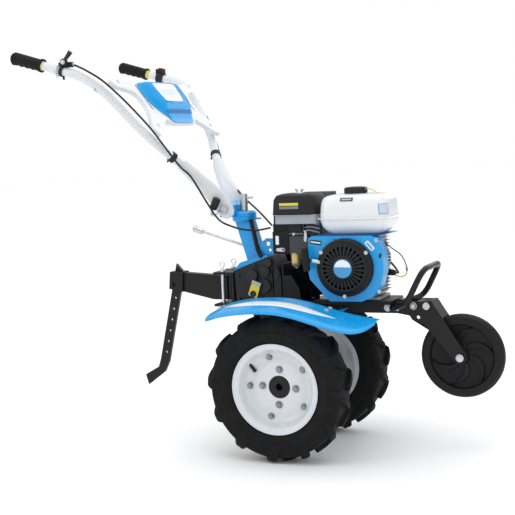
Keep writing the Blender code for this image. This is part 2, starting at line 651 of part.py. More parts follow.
def lock_pin():
    """The plunger that locks the head: a sleeve with a side handle, lifted to let the head turn."""
    profile = [(0.0, 0.0), (0.0, 0.0065), (0.0175, 0.0065), (0.0175, 0.0135), (0.0710, 0.0135),
               (0.0710, 0.0)]
    shapes = [lathe(profile, (SWIVEL_X, 0.0, 0.7530), (0.0, 0.0, 1.0), 14)]
    shapes.append(cylinder((SWIVEL_X + 0.008, 0.0, 0.8120), (SWIVEL_X + 0.032, 0.0, 0.8120), 0.0040, 8))
    solid("swivel_lock_pin", STEEL, shapes, (), (SWIVEL_X, 0.0, 0.7530))


steering_column()
shift_rod()
swivel_head()
lock_pin()


# ---------------------------------------------------------------- handlebars
BAR_POINTS = [(-0.262, 0.068, 0.824), (-0.294, 0.088, 0.874), (-0.324, 0.122, 0.919),
              (-0.347, 0.152, 0.948), (-0.373, 0.190, 0.985), (-0.400, 0.226, 1.024),
              (-0.442, 0.259, 1.083), (-0.478, 0.284, 1.134), (-0.515, 0.308, 1.177),
              (-0.547, 0.323, 1.204), (-0.585, 0.332, 1.2245), (-0.640, 0.334, 1.2408)]
CHEEK_PLATE = (0.0505, 0.0570)     # from the head's side outwards


def grip_point(distance):
    return Vector(GRIP_START) + Vector(GRIP_DIRECTION).normalized() * distance


def handlebar(side, name):
    """A bent tube whose lower end is flattened into a cheek beside the head."""
    points = BAR_POINTS + [tuple(grip_point(along))
                           for along in (-0.031, 0.0, 0.052, GRIP_BORE_DEPTH - 0.003)]
    radii = [SOCKET_RADIUS, SOCKET_RADIUS, 0.0170, 0.0150] + [BAR_RADIUS] * (len(points) - 4)
    bar = tube([(x, side * y, z) for x, y, z in points], radii, 10)
    open_end = points[1:] + [tuple(grip_point(GRIP_BORE_DEPTH + 0.02))]
    bore = tube([(x, side * y, z) for x, y, z in open_end],
                [r - TUBE_WALL for r in radii[1:] + radii[-1:]], 8)
    lower = arc(BAR_PIVOT, 0.026, 140, 320, 8)
    upper = arc((-0.276, 0.846), 0.022, -40, 140, 5)
    plate = prism(lower + upper, side * CHEEK_PLATE[0], side * CHEEK_PLATE[1])
    hole = across_y(BAR_PIVOT, -0.1, 0.1, 0.0072, 12)
    solid(name, WHITE, [bar, plate], [bore, hole], at(BAR_PIVOT, 0.0))


def grip(side, name):
    """A moulded grip with a collar and a flared end, over the end of the tube."""
    profile = [(GRIP_BORE_DEPTH, 0.0), (GRIP_BORE_DEPTH, BAR_RADIUS + GAP), (0.0, BAR_RADIUS + GAP),
               (0.0, 0.0215), (0.006, 0.0215), (0.010, 0.0185), (0.090, 0.0190), (0.104, 0.0200),
               (0.113, 0.0190), (GRIP_LENGTH - 0.002, 0.0130), (GRIP_LENGTH - 0.002, 0.0)]
    start = Vector(GRIP_START)
    start.y *= side
    axis = Vector(GRIP_DIRECTION).normalized()
    below = Vector((axis.z, 0.0, -axis.x)) * -1
    lip = lathe([(0.098, 0.0), (0.098, 0.0150), (0.108, 0.0215), (0.117, 0.0215), (GRIP_LENGTH, 0.0180),
                 (GRIP_LENGTH, 0.0)], start + below * 0.0045, axis, 16)
    bore = cylinder(start + axis * 0.05, start + axis * GRIP_BORE_DEPTH, BAR_RADIUS + GAP, 16)
    solid(name, GRIP, [lathe(profile, start, GRIP_DIRECTION, 16), lip], [bore], tuple(start))


def clamp_lever():
    """The cam lever on the pivot bolt that clamps the handlebars' height."""
    shapes = [across_y(BAR_PIVOT, -0.0740, 0.0660, 0.0062, 12),
              across_y(BAR_PIVOT, -0.0750, -0.0580, 0.0120, 14)]
    shapes.append(across_y(BAR_PIVOT, 0.0580, 0.0650, 0.0110, 6))
    shapes.append(tube([(-0.226, -0.0700, 0.7760), (-0.250, -0.0710, 0.7640), (-0.263, -0.0735, 0.7610),
                        (-0.2620, -0.0790, 0.7720), (-0.253, -0.0830, 0.7880)], 0.0045, 8))
    shapes.append(cylinder((-0.2530, -0.0830, 0.7840), (-0.2360, -0.0840, 0.8140), 0.0115, 12))
    solid("clamp_lever", STEEL, shapes, (), at(BAR_PIVOT, -0.0700))


def console_place(y, up, out):
    return CONSOLE_ORIGIN + CONSOLE_UP * up + CONSOLE_OUT * out + Vector((0.0, y, 0.0))


def console_section(half, out):
    """A left-right symmetric outline at one height above the handlebars' plane."""
    points = [(y, up) for y, up in half] + [(-y, up) for y, up in reversed(half)]
    return [console_place(y, up, out) for y, up in points]


def console():
    """The white carrier between the handlebars with four arms, and the blue cover on its front."""
    arms = [(0.0, 0.094), (0.135, 0.097), (0.262, 0.112), (0.290, 0.104), (0.276, 0.080), (0.190, 0.066),
            (0.158, 0.045), (0.148, 0.008), (0.162, -0.020), (0.216, -0.078), (0.203, -0.108),
            (0.182, -0.104), (0.100, -0.050), (0.078, -0.068), (0.0, -0.070)]
    half = arms[1:-1]
    carrier = loft([console_section(half, out) for out in (0.0152, 0.0300)])
    well = [(0.130, 0.084), (0.130, 0.010), (0.080, -0.040), (0.064, -0.056)]
    belly = loft([console_section(well, out) for out in (-0.004, 0.0165)])
    pocket = [(0.125, 0.080), (0.125, 0.012), (0.078, -0.036), (0.062, -0.050)]
    hollow = loft([console_section(pocket, out) for out in (0.0, 0.05)])
    solid("console_carrier", WHITE_PLASTIC, [carrier, belly], [hollow])
    rim_line = [(0.114, 0.094), (0.141, 0.078), (0.141, 0.014), (0.092, -0.030), (0.077, -0.040),
                (0.068, -0.064)]
    step_line = [(0.108, 0.091), (0.132, 0.075), (0.132, 0.016), (0.086, -0.028), (0.072, -0.040),
                 (0.064, -0.060)]
    crown_line = [(0.080, 0.083), (0.090, 0.070), (0.090, 0.018), (0.068, 0.002), (0.066, -0.002),
                  (0.064, -0.006)]
    sections = [console_section(rim_line, 0.0305), console_section(rim_line, 0.0340),
                console_section(step_line, 0.0400), console_section(crown_line, 0.0510)]
    rim_hole = [(0.110, 0.090), (0.137, 0.075), (0.137, 0.016), (0.089, -0.026), (0.074, -0.036),
                (0.065, -0.060)]
    step_hole = [(0.104, 0.087), (0.128, 0.072), (0.128, 0.018), (0.083, -0.024), (0.069, -0.036),
                 (0.061, -0.056)]
    crown_hole = [(0.077, 0.080), (0.087, 0.068), (0.087, 0.020), (0.065, 0.004), (0.063, -0.000),
                  (0.061, -0.004)]
    hollow = loft([console_section(rim_hole, 0.02), console_section(rim_hole, 0.0320),
                   console_section(step_hole, 0.0375), console_section(crown_hole, 0.0480)])
    solid("console_cover", BLUE_PLASTIC, [loft(sections)], [hollow])


def stop_switch():
    """The engine stop switch on the left bar, with a red rocker."""
    middle = Vector(BAR_POINTS[-1])
    axis = (Vector(GRIP_START) - middle).normalized()
    start = middle - axis * 0.009
    sleeve = cylinder(start, start + axis * 0.026, 0.0200, 14)
    bore = cylinder(start - axis * 0.03, start + axis * 0.06, BAR_RADIUS + 0.0008, 14)
    seat = start + axis * 0.013 + Vector((0.0, 0.0, 0.0265))
    block = box(seat - Vector((0.0140, 0.0120, 0.0110)), seat + Vector((0.0140, 0.0120, 0.0060)))
    pocket = box(seat + Vector((-0.0095, -0.0075, -0.0030)), seat + Vector((0.0095, 0.0075, 0.02)))
    solid("switch_housing", PLASTIC, [sleeve, block], [bore, pocket])
    rocker = [(seat.x - 0.0085, seat.z + 0.0005), (seat.x + 0.0085, seat.z + 0.0005),
              (seat.x + 0.0085, seat.z + 0.0085), (seat.x, seat.z + 0.0105),
              (seat.x - 0.0085, seat.z + 0.0085)]
    solid("switch_rocker", RED, [prism(rocker, seat.y - 0.0065, seat.y + 0.0065)], (),
          (seat.x, seat.y, seat.z + 0.004))


def throttle():
    """The thumb throttle on the right bar: clamp band with a boss, and a paddle lever beside it."""
    middle = Vector(BAR_POINTS[-1])
    middle.y *= -1
    start_point = Vector(GRIP_START)
    start_point.y *= -1
    axis = (start_point - middle).normalized()
    start = middle - axis * 0.019
    band = cylinder(start, start + axis * 0.012, 0.0178, 14)
    bore = cylinder(start - axis * 0.05, start + axis * 0.06, BAR_RADIUS + 0.0011, 14)
    boss = box((-0.6400, -0.3380, 1.2480), (-0.5940, -0.3220, 1.2640))
    bolt = cylinder((-0.6265, -0.3340, 1.2295), (-0.6250, -0.3340, 1.2110), 0.0035, 8)
    solid("throttle_clamp", PLASTIC, [band, boss, bolt], [bore])
    hub = across_y((-0.6150, 1.2640), -0.3500, -0.3385, 0.0115, 14)
    paddle = tube([(-0.6140, -0.3445, 1.2690), (-0.6030, -0.3440, 1.2790), (-0.5900, -0.3430, 1.2940)],
                  [0.0045, 0.0065, 0.0080], 8, 3)
    solid("throttle_lever", PLASTIC, [hub, paddle], (), (-0.6150, -0.3385, 1.2640))


for side, word in ((-1, "right"), (1, "left")):
    handlebar(side, "handlebar_" + word)
    grip(side, "grip_" + word)
clamp_lever()
console()
stop_switch()
throttle()


# ---------------------------------------------------------------- cables
def cables():
    """Control cables in two lengths each: one on the handlebars, one from the head to the engine."""
    throttle_upper = [(-0.592, -0.3300, 1.2560), (-0.568, -0.3360, 1.2470), (-0.540, -0.3360, 1.2330),
                      (-0.495, -0.3220, 1.2010), (-0.444, -0.3000, 1.1470), (-0.398, -0.2750, 1.0880),
                      (-0.372, -0.2450, 1.0420), (-0.349, -0.2100, 0.9880), (-0.324, -0.1620, 0.9240),
                      (-0.303, -0.1300, 0.8890), (-0.271, -0.1080, 0.8190), (-0.249, -0.1030, 0.7800)]
    throttle_lower = [(-0.2120, -0.1030, 0.7390), (-0.1970, -0.1020, 0.7320), (-0.1550, -0.0950, 0.7170),
                      (-0.1030, -0.0880, 0.7110), (-0.0560, -0.0780, 0.7180)]
    clutch_upper = [(-0.447, 0.2960, 1.0880), (-0.402, 0.2560, 1.0200), (-0.361, 0.2080, 0.9620),
                    (-0.329, 0.1640, 0.9100), (-0.298, 0.1310, 0.8680)]
    clutch_lower = [(-0.1600, 0.0050, 0.7920), (-0.1090, -0.0350, 0.7640), (-0.0560, -0.0680, 0.7250)]
    for name, points in (("throttle_cable_upper", throttle_upper),
                         ("throttle_cable_lower", throttle_lower), ("clutch_cable_upper", clutch_upper),
                         ("clutch_cable_lower", clutch_lower)):
        solid(name, PLASTIC, [tube(points, 0.0030, 6, 2)])


cables()


# ---------------------------------------------------------------- engine
def crankcase():
    """The engine block: a shell open towards the belt side, on a flange that bolts to the deck."""
    outline = [(0.110, 0.4940), (0.268, 0.4940), (0.268, 0.6200), (0.256, 0.6800), (0.140, 0.6800),
               (0.106, 0.6200)]
    shapes = [prism(outline, -0.0780, 0.1050), box((0.092, -0.0560, DECK_TOP + GAP),
                                                   (0.290, 0.0560, 0.4970))]
    cuts = [prism(inset(outline, 0.007), -0.0710, 0.12), across_y(CRANK, -0.1, 0.0, 0.0125)]
    solid("crankcase", CAST, shapes, cuts)


def cylinder_head():
    """The finned head on the front of the block, with the spark plug's boot."""
    shapes = [box((0.2690, -0.0640, 0.5120), (0.2900, 0.0340, 0.6850))]
    fins = 9
    for i in range(fins):
        z = 0.5180 + 0.0198 * i
        shapes.append(box((0.2695, -0.0760, z), (0.3000, 0.0440, z + 0.0040)))
    shapes.append(cylinder((0.2850, -0.0300, 0.5752), (0.3360, -0.0300, 0.5690), 0.0085, 10))
    solid("cylinder_head", CAST, shapes)


def shroud():
    """The blue fan housing, open at the back, with a round opening for the starter."""
    outline = [(0.153, 0.4925), (0.256, 0.4925), (0.292, 0.5080), (0.316, 0.5400), (0.328, 0.5800),
               (0.327, 0.6300), (0.318, 0.6700), (0.305, 0.6880), (0.290, 0.6930), (0.100, 0.6930),
               (0.090, 0.6870), (0.089, 0.6400), (0.086, 0.5850), (0.090, 0.5600)]
    body = prism(outline, -0.1300, -0.0800)
    cuts = [prism(inset(outline, 0.003), -0.1270, -0.05), across_y(STARTER, -0.2, -0.1, 0.0830, 28)]
    solid("fan_shroud", BLUE, [body], cuts)


def starter():
    """The recoil starter's cover with its rope guide, the reel inside it, and the pull handle."""
    profile = [(-0.1600, 0.0), (-0.1600, 0.033), (-0.1550, 0.035), (-0.1550, 0.066), (-0.1500, 0.078),
               (-0.1500, 0.0885), (-0.1305, STARTER_RADIUS), (-0.1305, 0.0835), (-0.1465, 0.0835),
               (-0.1465, 0.074), (-0.1515, 0.062), (-0.1515, 0.0)]
    cover = lathe(profile, at(STARTER, 0.0), sides=28)
    guide = cylinder((0.1300, -0.1440, 0.6150), (0.1080, -0.1480, 0.6190), 0.0065, 10)
    solid("starter_cover", PLASTIC, [cover, guide])
    spool = [(-0.1500, 0.0), (-0.1500, 0.058), (-0.1465, 0.058), (-0.1465, 0.030), (-0.1400, 0.030),
             (-0.1400, 0.058), (-0.1365, 0.058), (-0.1365, 0.0)]
    solid("starter_reel", PLASTIC, [lathe(spool, at(STARTER, 0.0), sides=20)], (), at(STARTER, -0.14))
    handle = tube([(0.0920, -0.1560, 0.5910), (0.0915, -0.1570, 0.6020), (0.0900, -0.1580, 0.6250),
                   (0.0880, -0.1580, 0.6480), (0.0870, -0.1575, 0.6590)],
                  [0.0070, 0.0115, 0.0100, 0.0115, 0.0070], 10)
    nose = cylinder((0.0900, -0.1550, 0.6215), (0.1035, -0.1500, 0.6195), 0.0070, 10)
    solid("starter_handle", PLASTIC, [handle, nose], (), (0.0900, -0.1550, 0.6215))


def rotating_parts():
    """Crankshaft with its belt pulley, flywheel with fan, and the gearbox input shaft's pulley."""
    y = BELT_Y
    crank = [(-0.1330, 0.0), (-0.1330, 0.0100), (-0.0400, 0.0100), (-0.0400, 0.0400), (-0.0220, 0.0400),
             (-0.0220, 0.0180), (0.0280, 0.0180), (0.0280, 0.0400), (0.0460, 0.0400), (0.0460, 0.0125),
             (y - 0.010, 0.0125), (y - 0.010, 0.0380), (y - 0.007, 0.0380), (y - 0.0035, 0.0300),
             (y + 0.0035, 0.0300), (y + 0.007, 0.0380), (y + 0.010, 0.0380), (y + 0.010, 0.0)]
    solid("crankshaft", STEEL, [lathe(crank, at(CRANK, 0.0), sides=20)], (), at(CRANK, 0.0))
    wheel = [(-0.1240, 0.0108), (-0.1240, 0.0350), (-0.1060, 0.0400), (-0.1060, 0.0760),
             (-0.0830, 0.0760), (-0.0830, 0.0108)]
    solid("flywheel_fan", IRON, [lathe(wheel, at(CRANK, 0.0), sides=24, ring=True)], (), at(CRANK, 0.0))
    shaft = [(0.0100, 0.0), (0.0100, 0.0100), (y - 0.010, 0.0100), (y - 0.010, 0.0600),
             (y - 0.007, 0.0600), (y - 0.0035, 0.0520), (y + 0.0035, 0.0520), (y + 0.007, 0.0600),
             (y + 0.010, 0.0600), (y + 0.010, 0.0)]
    solid("gearbox_pulley", IRON, [lathe(shaft, at(INPUT_SHAFT, 0.0), sides=24)], (), at(INPUT_SHAFT, 0.0))


def belt_drive():
    """The drive belt, its guard, and the tension roller's arm."""
    half = 0.0027
    belt = prism(belt_loop(0.0585, 0.0365), BELT_Y - half, BELT_Y + half)
    hole = prism(belt_loop(0.0530, 0.0310), BELT_Y - 0.02, BELT_Y + 0.02)
    solid("drive_belt", RUBBER, [belt], [hole])
    outline = belt_loop(0.0860, 0.0640, 8)
    guard = prism(outline, 0.1100, 0.1470)
    pivot = (0.000, 0.575)
    pin = across_y(pivot, 0.1120, 0.1460, 0.0050, 12)
    cavity = prism(inset(outline, 0.0025), 0.10, 0.1445)
    shell = as_object(guard, "guard_blank")
    step = shell.modifiers.new("hollow", "BOOLEAN")
    step.operation = "DIFFERENCE"
    step.solver = "EXACT"
    step.object = as_object(cavity, "guard_cavity")
    hollow = bpy.data.meshes.new_from_object(shell.evaluated_get(bpy.context.evaluated_depsgraph_get()))
    bpy.data.objects.remove(step.object)
    bpy.data.objects.remove(shell)
    walls = bmesh.new()
    walls.from_mesh(hollow)
    solid("belt_guard", BLACK, [walls, pin])
    roller = (0.080, 0.6272)
    arm = [(pivot[0] - 0.010, pivot[1]), (pivot[0], pivot[1] - 0.012), (roller[0], roller[1] - 0.008),
           (roller[0] + 0.007, roller[1]), (roller[0], roller[1] + 0.008), (pivot[0], pivot[1] + 0.010)]
    shapes = [prism(arm, 0.1150, 0.1185), across_y(pivot, 0.1145, 0.1320, 0.0100, 14)]
    shapes += [across_y(roller, 0.1170, 0.1225, 0.0050, 10), across_y(roller, 0.1215, 0.1365, 0.0100, 16)]
    solid("belt_tensioner", STEEL, shapes, [across_y(pivot, 0.09, 0.16, 0.0056, 12)], at(pivot, 0.12))


def fuel_tank():
    """The tank, hollow with a filler neck, and its cap."""
    levels = [(0.6950, 0.040), (0.7080, 0.022), (0.7250, 0.009), (0.7425, 0.004), (0.7430, 0.0),
              (0.7470, 0.0), (0.7475, 0.004), (0.7750, 0.007), (0.8000, 0.014), (0.8120, 0.026),
              (0.8180, 0.044)]
    low, high = (0.112, -0.130), (0.346, 0.046)
    sections = []
    for z, back in levels:
        outline = rounded_rectangle((low[0] + back, low[1] + back), (high[0] - back, high[1] - back),
                                    max(0.042 - back, 0.014), 3)
        sections.append([(x, y, z) for x, y in outline])
    inner = []
    for z, back in ((0.6970, 0.042), (0.7094, 0.024), (0.7258, 0.011), (0.7420, 0.006), (0.7740, 0.009),
                    (0.7990, 0.016), (0.8105, 0.028), (0.8160, 0.046)):
        outline = rounded_rectangle((low[0] + back, low[1] + back), (high[0] - back, high[1] - back),
                                    max(0.042 - back, 0.012), 3)
        inner.append([(x, y, z) for x, y in outline])
    neck = (0.2160, -0.030)
    cuts = [loft(inner), cylinder((*neck, 0.80), (*neck, 0.84), 0.0200, 16)]
    solid("fuel_tank", TANK_WHITE, [loft(sections)], cuts)
    cap = [(-0.0150, 0.0), (-0.0150, 0.0180), (GAP, 0.0180), (GAP, 0.0370), (0.0160, 0.0370),
           (0.0200, 0.0340), (0.0200, 0.0)]
    solid("fuel_cap", PLASTIC, [lathe(cap, (*neck, 0.8180), (0.0, 0.0, 1.0), 20)], (), (*neck, 0.8180))


def air_cleaner():
    """The air cleaner: a tray, a cover over it, and the nut on top."""
    tray = [(x, y) for x, y in rounded_rectangle((-0.036, -0.100), (0.108, 0.028), 0.015, 2)]
    inside = [(x, y) for x, y in rounded_rectangle((-0.033, -0.097), (0.105, 0.025), 0.012, 2)]
    solid("air_cleaner_tray", GREY_PLASTIC, [prism(tray, 0.7300, 0.7570, "Z")],
          [prism(inside, 0.7330, 0.77, "Z")])
    levels = [(0.7580, 0.0), (0.7610, 0.0), (0.8050, 0.003), (0.8180, 0.010), (0.8230, 0.022)]
    outer = []
    hollow = []
    for z, back in levels:
        outline = rounded_rectangle((-0.043 + back, -0.106 + back), (0.1070 - back, 0.033 - back), 0.020, 2)
        outer.append([(x, y, z) for x, y in outline])
        outline = rounded_rectangle((-0.040 + back, -0.103 + back), (0.1040 - back, 0.030 - back), 0.017, 2)
        hollow.append([(x, y, z - 0.003) for x, y in outline])
    hollow[0] = [(x, y, 0.75) for x, y, z in hollow[0]]
    stud = (0.030, -0.036)
    solid("air_cleaner_cover", PLASTIC, [loft(outer)],
          [loft(hollow), cylinder((*stud, 0.80), (*stud, 0.84), 0.0040, 10)])
    shapes = [lathe([(0.7900, 0.0), (0.7900, 0.0030), (0.8235, 0.0030), (0.8235, 0.0110),
                     (0.8270, 0.0090), (0.8320, 0.0060), (0.8320, 0.0)], (*stud, 0.0), (0.0, 0.0, 1.0),
                    12)]
    wing = [(-0.015, 0.8360), (-0.011, 0.8375), (0.0, 0.8310), (0.011, 0.8375), (0.015, 0.8360),
            (0.009, 0.8250), (-0.009, 0.8250)]
    shapes.append(prism([(stud[0] + x, z) for x, z in wing], stud[1] - 0.0018, stud[1] + 0.0018))
    solid("air_cleaner_nut", STEEL, shapes, (), (*stud, 0.82))


def fuel_system():
    """Carburettor with its bowl, control box, choke lever and the arm that the throttle cable turns."""
    shapes = [box((0.0050, -0.0780, 0.6340), (0.0700, -0.0350, 0.6900)),
              box((0.0600, -0.0600, 0.6450), (0.1050, -0.0300, 0.6850))]
    shapes.append(box((0.0200, -0.0700, 0.6850), (0.0550, -0.0400, 0.7290)))
    shapes.append(lathe([(0.5920, 0.0), (0.5920, 0.0120), (0.6000, 0.0165), (0.6360, 0.0165),
                         (0.6360, 0.0)], (0.0200, -0.0600, 0.0), (0.0, 0.0, 1.0), 14))
    solid("carburettor", CAST, shapes)
    shapes = [box((-0.0500, -0.0800, 0.6340), (0.0035, -0.0420, 0.7050)),
              box((-0.0480, -0.0780, 0.7040), (0.0020, -0.0300, 0.7290))]
    shapes.append(across_y((-0.0140, 0.6480), -0.0865, -0.0790, 0.0030, 10))
    solid("control_box", PLASTIC, shapes)
    lever = arc((-0.0140, 0.6480), 0.0065, -90, 90, 5)
    lever += [(-0.0360, 0.6530), (-0.0380, 0.6460), (-0.0330, 0.6430)]
    solid("choke_lever", STEEL, [prism(lever, -0.0850, -0.0808)],
          [across_y((-0.0140, 0.6480), -0.1, -0.07, 0.0036, 10)], at((-0.0140, 0.6480), -0.0830))
    arm = arc((0.0620, 0.6780), 0.0060, 180, 360, 5) + [(0.0660, 0.7060), (0.0590, 0.7060)]
    solid("throttle_arm", STEEL, [prism(arm, -0.0820, -0.0788),
                                  across_y((0.0620, 0.6780), -0.0850, -0.0800, 0.0045, 10)], (),
          at((0.0620, 0.6780), -0.0800))


def exhaust():
    """The muffler, hollow with its outlet open, and the slotted guard over it."""
    shell = box((-0.0120, 0.0500, 0.7080), (0.0810, 0.1360, 0.7980))
    pipe = cylinder((0.0600, 0.0800, 0.7150), (0.1120, 0.0800, 0.6560), 0.0110, 12)
    cuts = [box((-0.0090, 0.0530, 0.7110), (0.0780, 0.1330, 0.7950)),
            cylinder((-0.03, 0.1050, 0.7400), (0.0, 0.1050, 0.7400), 0.0090, 12)]
    solid("muffler", DARK_STEEL, [shell, pipe], cuts)
    outer = box((-0.0190, 0.0420, 0.7300), (0.0880, 0.1450, 0.8190))
    cuts = [box((-0.0170, 0.0440, 0.72), (0.0860, 0.1430, 0.8170))]
    for i in range(5):
        x = -0.0050 + 0.0165 * i
        cuts.append(box((x, 0.0560, 0.81), (x + 0.0070, 0.1310, 0.83)))
    cuts.append(box((-0.03, 0.0900, 0.7250), (0.0, 0.1200, 0.7550)))
    solid("muffler_guard", DARK_STEEL, [outer], cuts)


crankcase()
cylinder_head()
shroud()
starter()
rotating_parts()
belt_drive()
fuel_tank()
air_cleaner()
fuel_system()
exhaust()
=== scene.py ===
"""Looks of the motor cultivator: materials, fine bodywork, tyres, fasteners, decals and cables."""

import json
from math import cos, pi, radians, sin, sqrt

import bmesh
import bpy
from mathutils import Matrix, Vector


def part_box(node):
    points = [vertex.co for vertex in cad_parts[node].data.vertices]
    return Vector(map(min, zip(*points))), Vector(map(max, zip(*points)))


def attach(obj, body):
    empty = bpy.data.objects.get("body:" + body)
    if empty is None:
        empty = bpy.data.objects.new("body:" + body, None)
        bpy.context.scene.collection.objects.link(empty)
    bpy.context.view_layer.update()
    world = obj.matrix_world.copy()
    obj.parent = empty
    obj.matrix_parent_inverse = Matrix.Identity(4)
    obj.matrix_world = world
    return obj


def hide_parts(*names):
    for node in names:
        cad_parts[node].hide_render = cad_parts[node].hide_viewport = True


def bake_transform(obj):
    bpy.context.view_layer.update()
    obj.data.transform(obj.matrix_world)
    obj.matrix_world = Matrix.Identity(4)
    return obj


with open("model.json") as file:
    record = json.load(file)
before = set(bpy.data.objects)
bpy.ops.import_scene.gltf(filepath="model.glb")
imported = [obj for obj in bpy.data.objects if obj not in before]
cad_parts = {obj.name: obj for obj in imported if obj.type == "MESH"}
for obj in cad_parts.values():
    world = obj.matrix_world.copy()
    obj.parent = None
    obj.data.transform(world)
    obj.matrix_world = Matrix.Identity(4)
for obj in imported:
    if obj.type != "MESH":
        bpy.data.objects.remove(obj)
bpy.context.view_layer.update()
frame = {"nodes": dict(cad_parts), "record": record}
nodes = frame["nodes"]

AXLE_LOW, AXLE_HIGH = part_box("drive_axle")
AXLE_X = (AXLE_LOW.x + AXLE_HIGH.x) / 2
AXLE_Z = (AXLE_LOW.z + AXLE_HIGH.z) / 2


def at(x, y, z):
    """A point given from the axle's middle (x), the middle plane (y) and the ground (z)."""
    return Vector((x + AXLE_X, y, z))


# ---------------------------------------------------------------- camera, light and floor
CAMERA_PLACE = (1.35585, -3.35915, 0.97312)
CAMERA_AZIMUTH, CAMERA_ELEVATION, CAMERA_ROLL = 24.022, 5.5635, -2.6733
CAMERA_LENS, SENSOR = 78.988, 36.0
SKY_LOW, SKY_RISE = 0.34, 1.06  # brightness at the horizon and how much is added straight up
FLOOR_RADIUS, FLOOR_DROP, FLOOR_WHITE = 40.0, 0.0005, 0.97
# name, place, what it points at, size and power
LIGHTS = (("light_top", (0.4, -0.6, 4.2), (0.0, 0.0, 0.4), 2.6, 20),
          ("light_left", (-3.2, -3.0, 2.4), (0.0, 0.0, 0.6), 1.8, 26),
          ("light_right", (3.6, -2.2, 1.7), (0.0, 0.0, 0.5), 1.6, 18),
          ("light_back", (0.6, 3.8, 2.6), (0.0, 0.0, 0.5), 2.2, 22))


def make_camera():
    data = bpy.data.cameras.new("camera")
    data.lens = CAMERA_LENS
    data.sensor_width = SENSOR
    data.clip_start, data.clip_end = 0.1, 200.0
    camera = bpy.data.objects.new("camera", data)
    bpy.context.scene.collection.objects.link(camera)
    a, e, r = radians(CAMERA_AZIMUTH), radians(CAMERA_ELEVATION), radians(CAMERA_ROLL)
    back = Vector((sin(a) * cos(e), -cos(a) * cos(e), sin(e)))
    right = Vector((cos(a), sin(a), 0.0))
    up = back.cross(right)
    across = right * cos(r) + up * sin(r)
    upward = up * cos(r) - right * sin(r)
    turn = Matrix((across, upward, back)).transposed().to_4x4()
    camera.matrix_world = Matrix.Translation(at(*CAMERA_PLACE)) @ turn
    bpy.context.scene.camera = camera


def area_light(name, place, target, size, power):
    data = bpy.data.lights.new(name, "AREA")
    data.shape = "SQUARE"
    data.size = size
    data.energy = power
    lamp = bpy.data.objects.new(name, data)
    bpy.context.scene.collection.objects.link(lamp)
    lamp.location = place
    lamp.rotation_euler = (Vector(target) - Vector(place)).to_track_quat("-Z", "Y").to_euler()


def make_sky():
    """White to the camera; as a lamp, dim at the horizon and bright overhead."""
    world = bpy.data.worlds.new("studio")
    world.use_nodes = True
    tree = world.node_tree
    seen = tree.nodes["Background"]
    seen.inputs["Color"].default_value = (1.0, 1.0, 1.0, 1.0)
    seen.inputs["Strength"].default_value = 1.0
    fill = tree.nodes.new("ShaderNodeBackground")
    fill.inputs["Color"].default_value = (1.0, 1.0, 1.0, 1.0)
    height = tree.nodes.new("ShaderNodeSeparateXYZ")
    tree.links.new(tree.nodes.new("ShaderNodeTexCoord").outputs["Generated"], height.inputs[0])
    rise = tree.nodes.new("ShaderNodeMapRange")
    rise.inputs["To Min"].default_value = SKY_LOW
    rise.inputs["To Max"].default_value = SKY_LOW + SKY_RISE
    tree.links.new(height.outputs["Z"], rise.inputs["Value"])
    tree.links.new(rise.outputs["Result"], fill.inputs["Strength"])
    path = tree.nodes.new("ShaderNodeLightPath")
    choose = tree.nodes.new("ShaderNodeMixShader")
    tree.links.new(path.outputs["Is Camera Ray"], choose.inputs["Fac"])
    tree.links.new(fill.outputs[0], choose.inputs[1])
    tree.links.new(seen.outputs[0], choose.inputs[2])
    tree.links.new(choose.outputs[0], tree.nodes["World Output"].inputs["Surface"])
    bpy.context.scene.world = world
    bpy.context.scene.view_settings.view_transform = "Standard"


def make_floor():
    shape = bmesh.new()
    bmesh.ops.create_circle(shape, cap_ends=True, segments=96, radius=FLOOR_RADIUS)
    mesh = bpy.data.meshes.new("floor")
    shape.to_mesh(mesh)
    shape.free()
    floor = bpy.data.objects.new("floor", mesh)
    bpy.context.scene.collection.objects.link(floor)
    floor.location.z = -FLOOR_DROP
    plain = bpy.data.materials.new("floor_paper")
    plain.use_nodes = True
    shader = plain.node_tree.nodes["Principled BSDF"]
    shader.inputs["Base Color"].default_value = (FLOOR_WHITE, FLOOR_WHITE, FLOOR_WHITE, 1.0)
    shader.inputs["Roughness"].default_value = 0.9
    mesh.materials.append(plain)


def make_studio():
    for name, place, target, size, power in LIGHTS:
        area_light(name, place, target, size, power)
    make_sky()
    make_floor()


# ---------------------------------------------------------------- materials
COAT_ROUGHNESS = 0.28


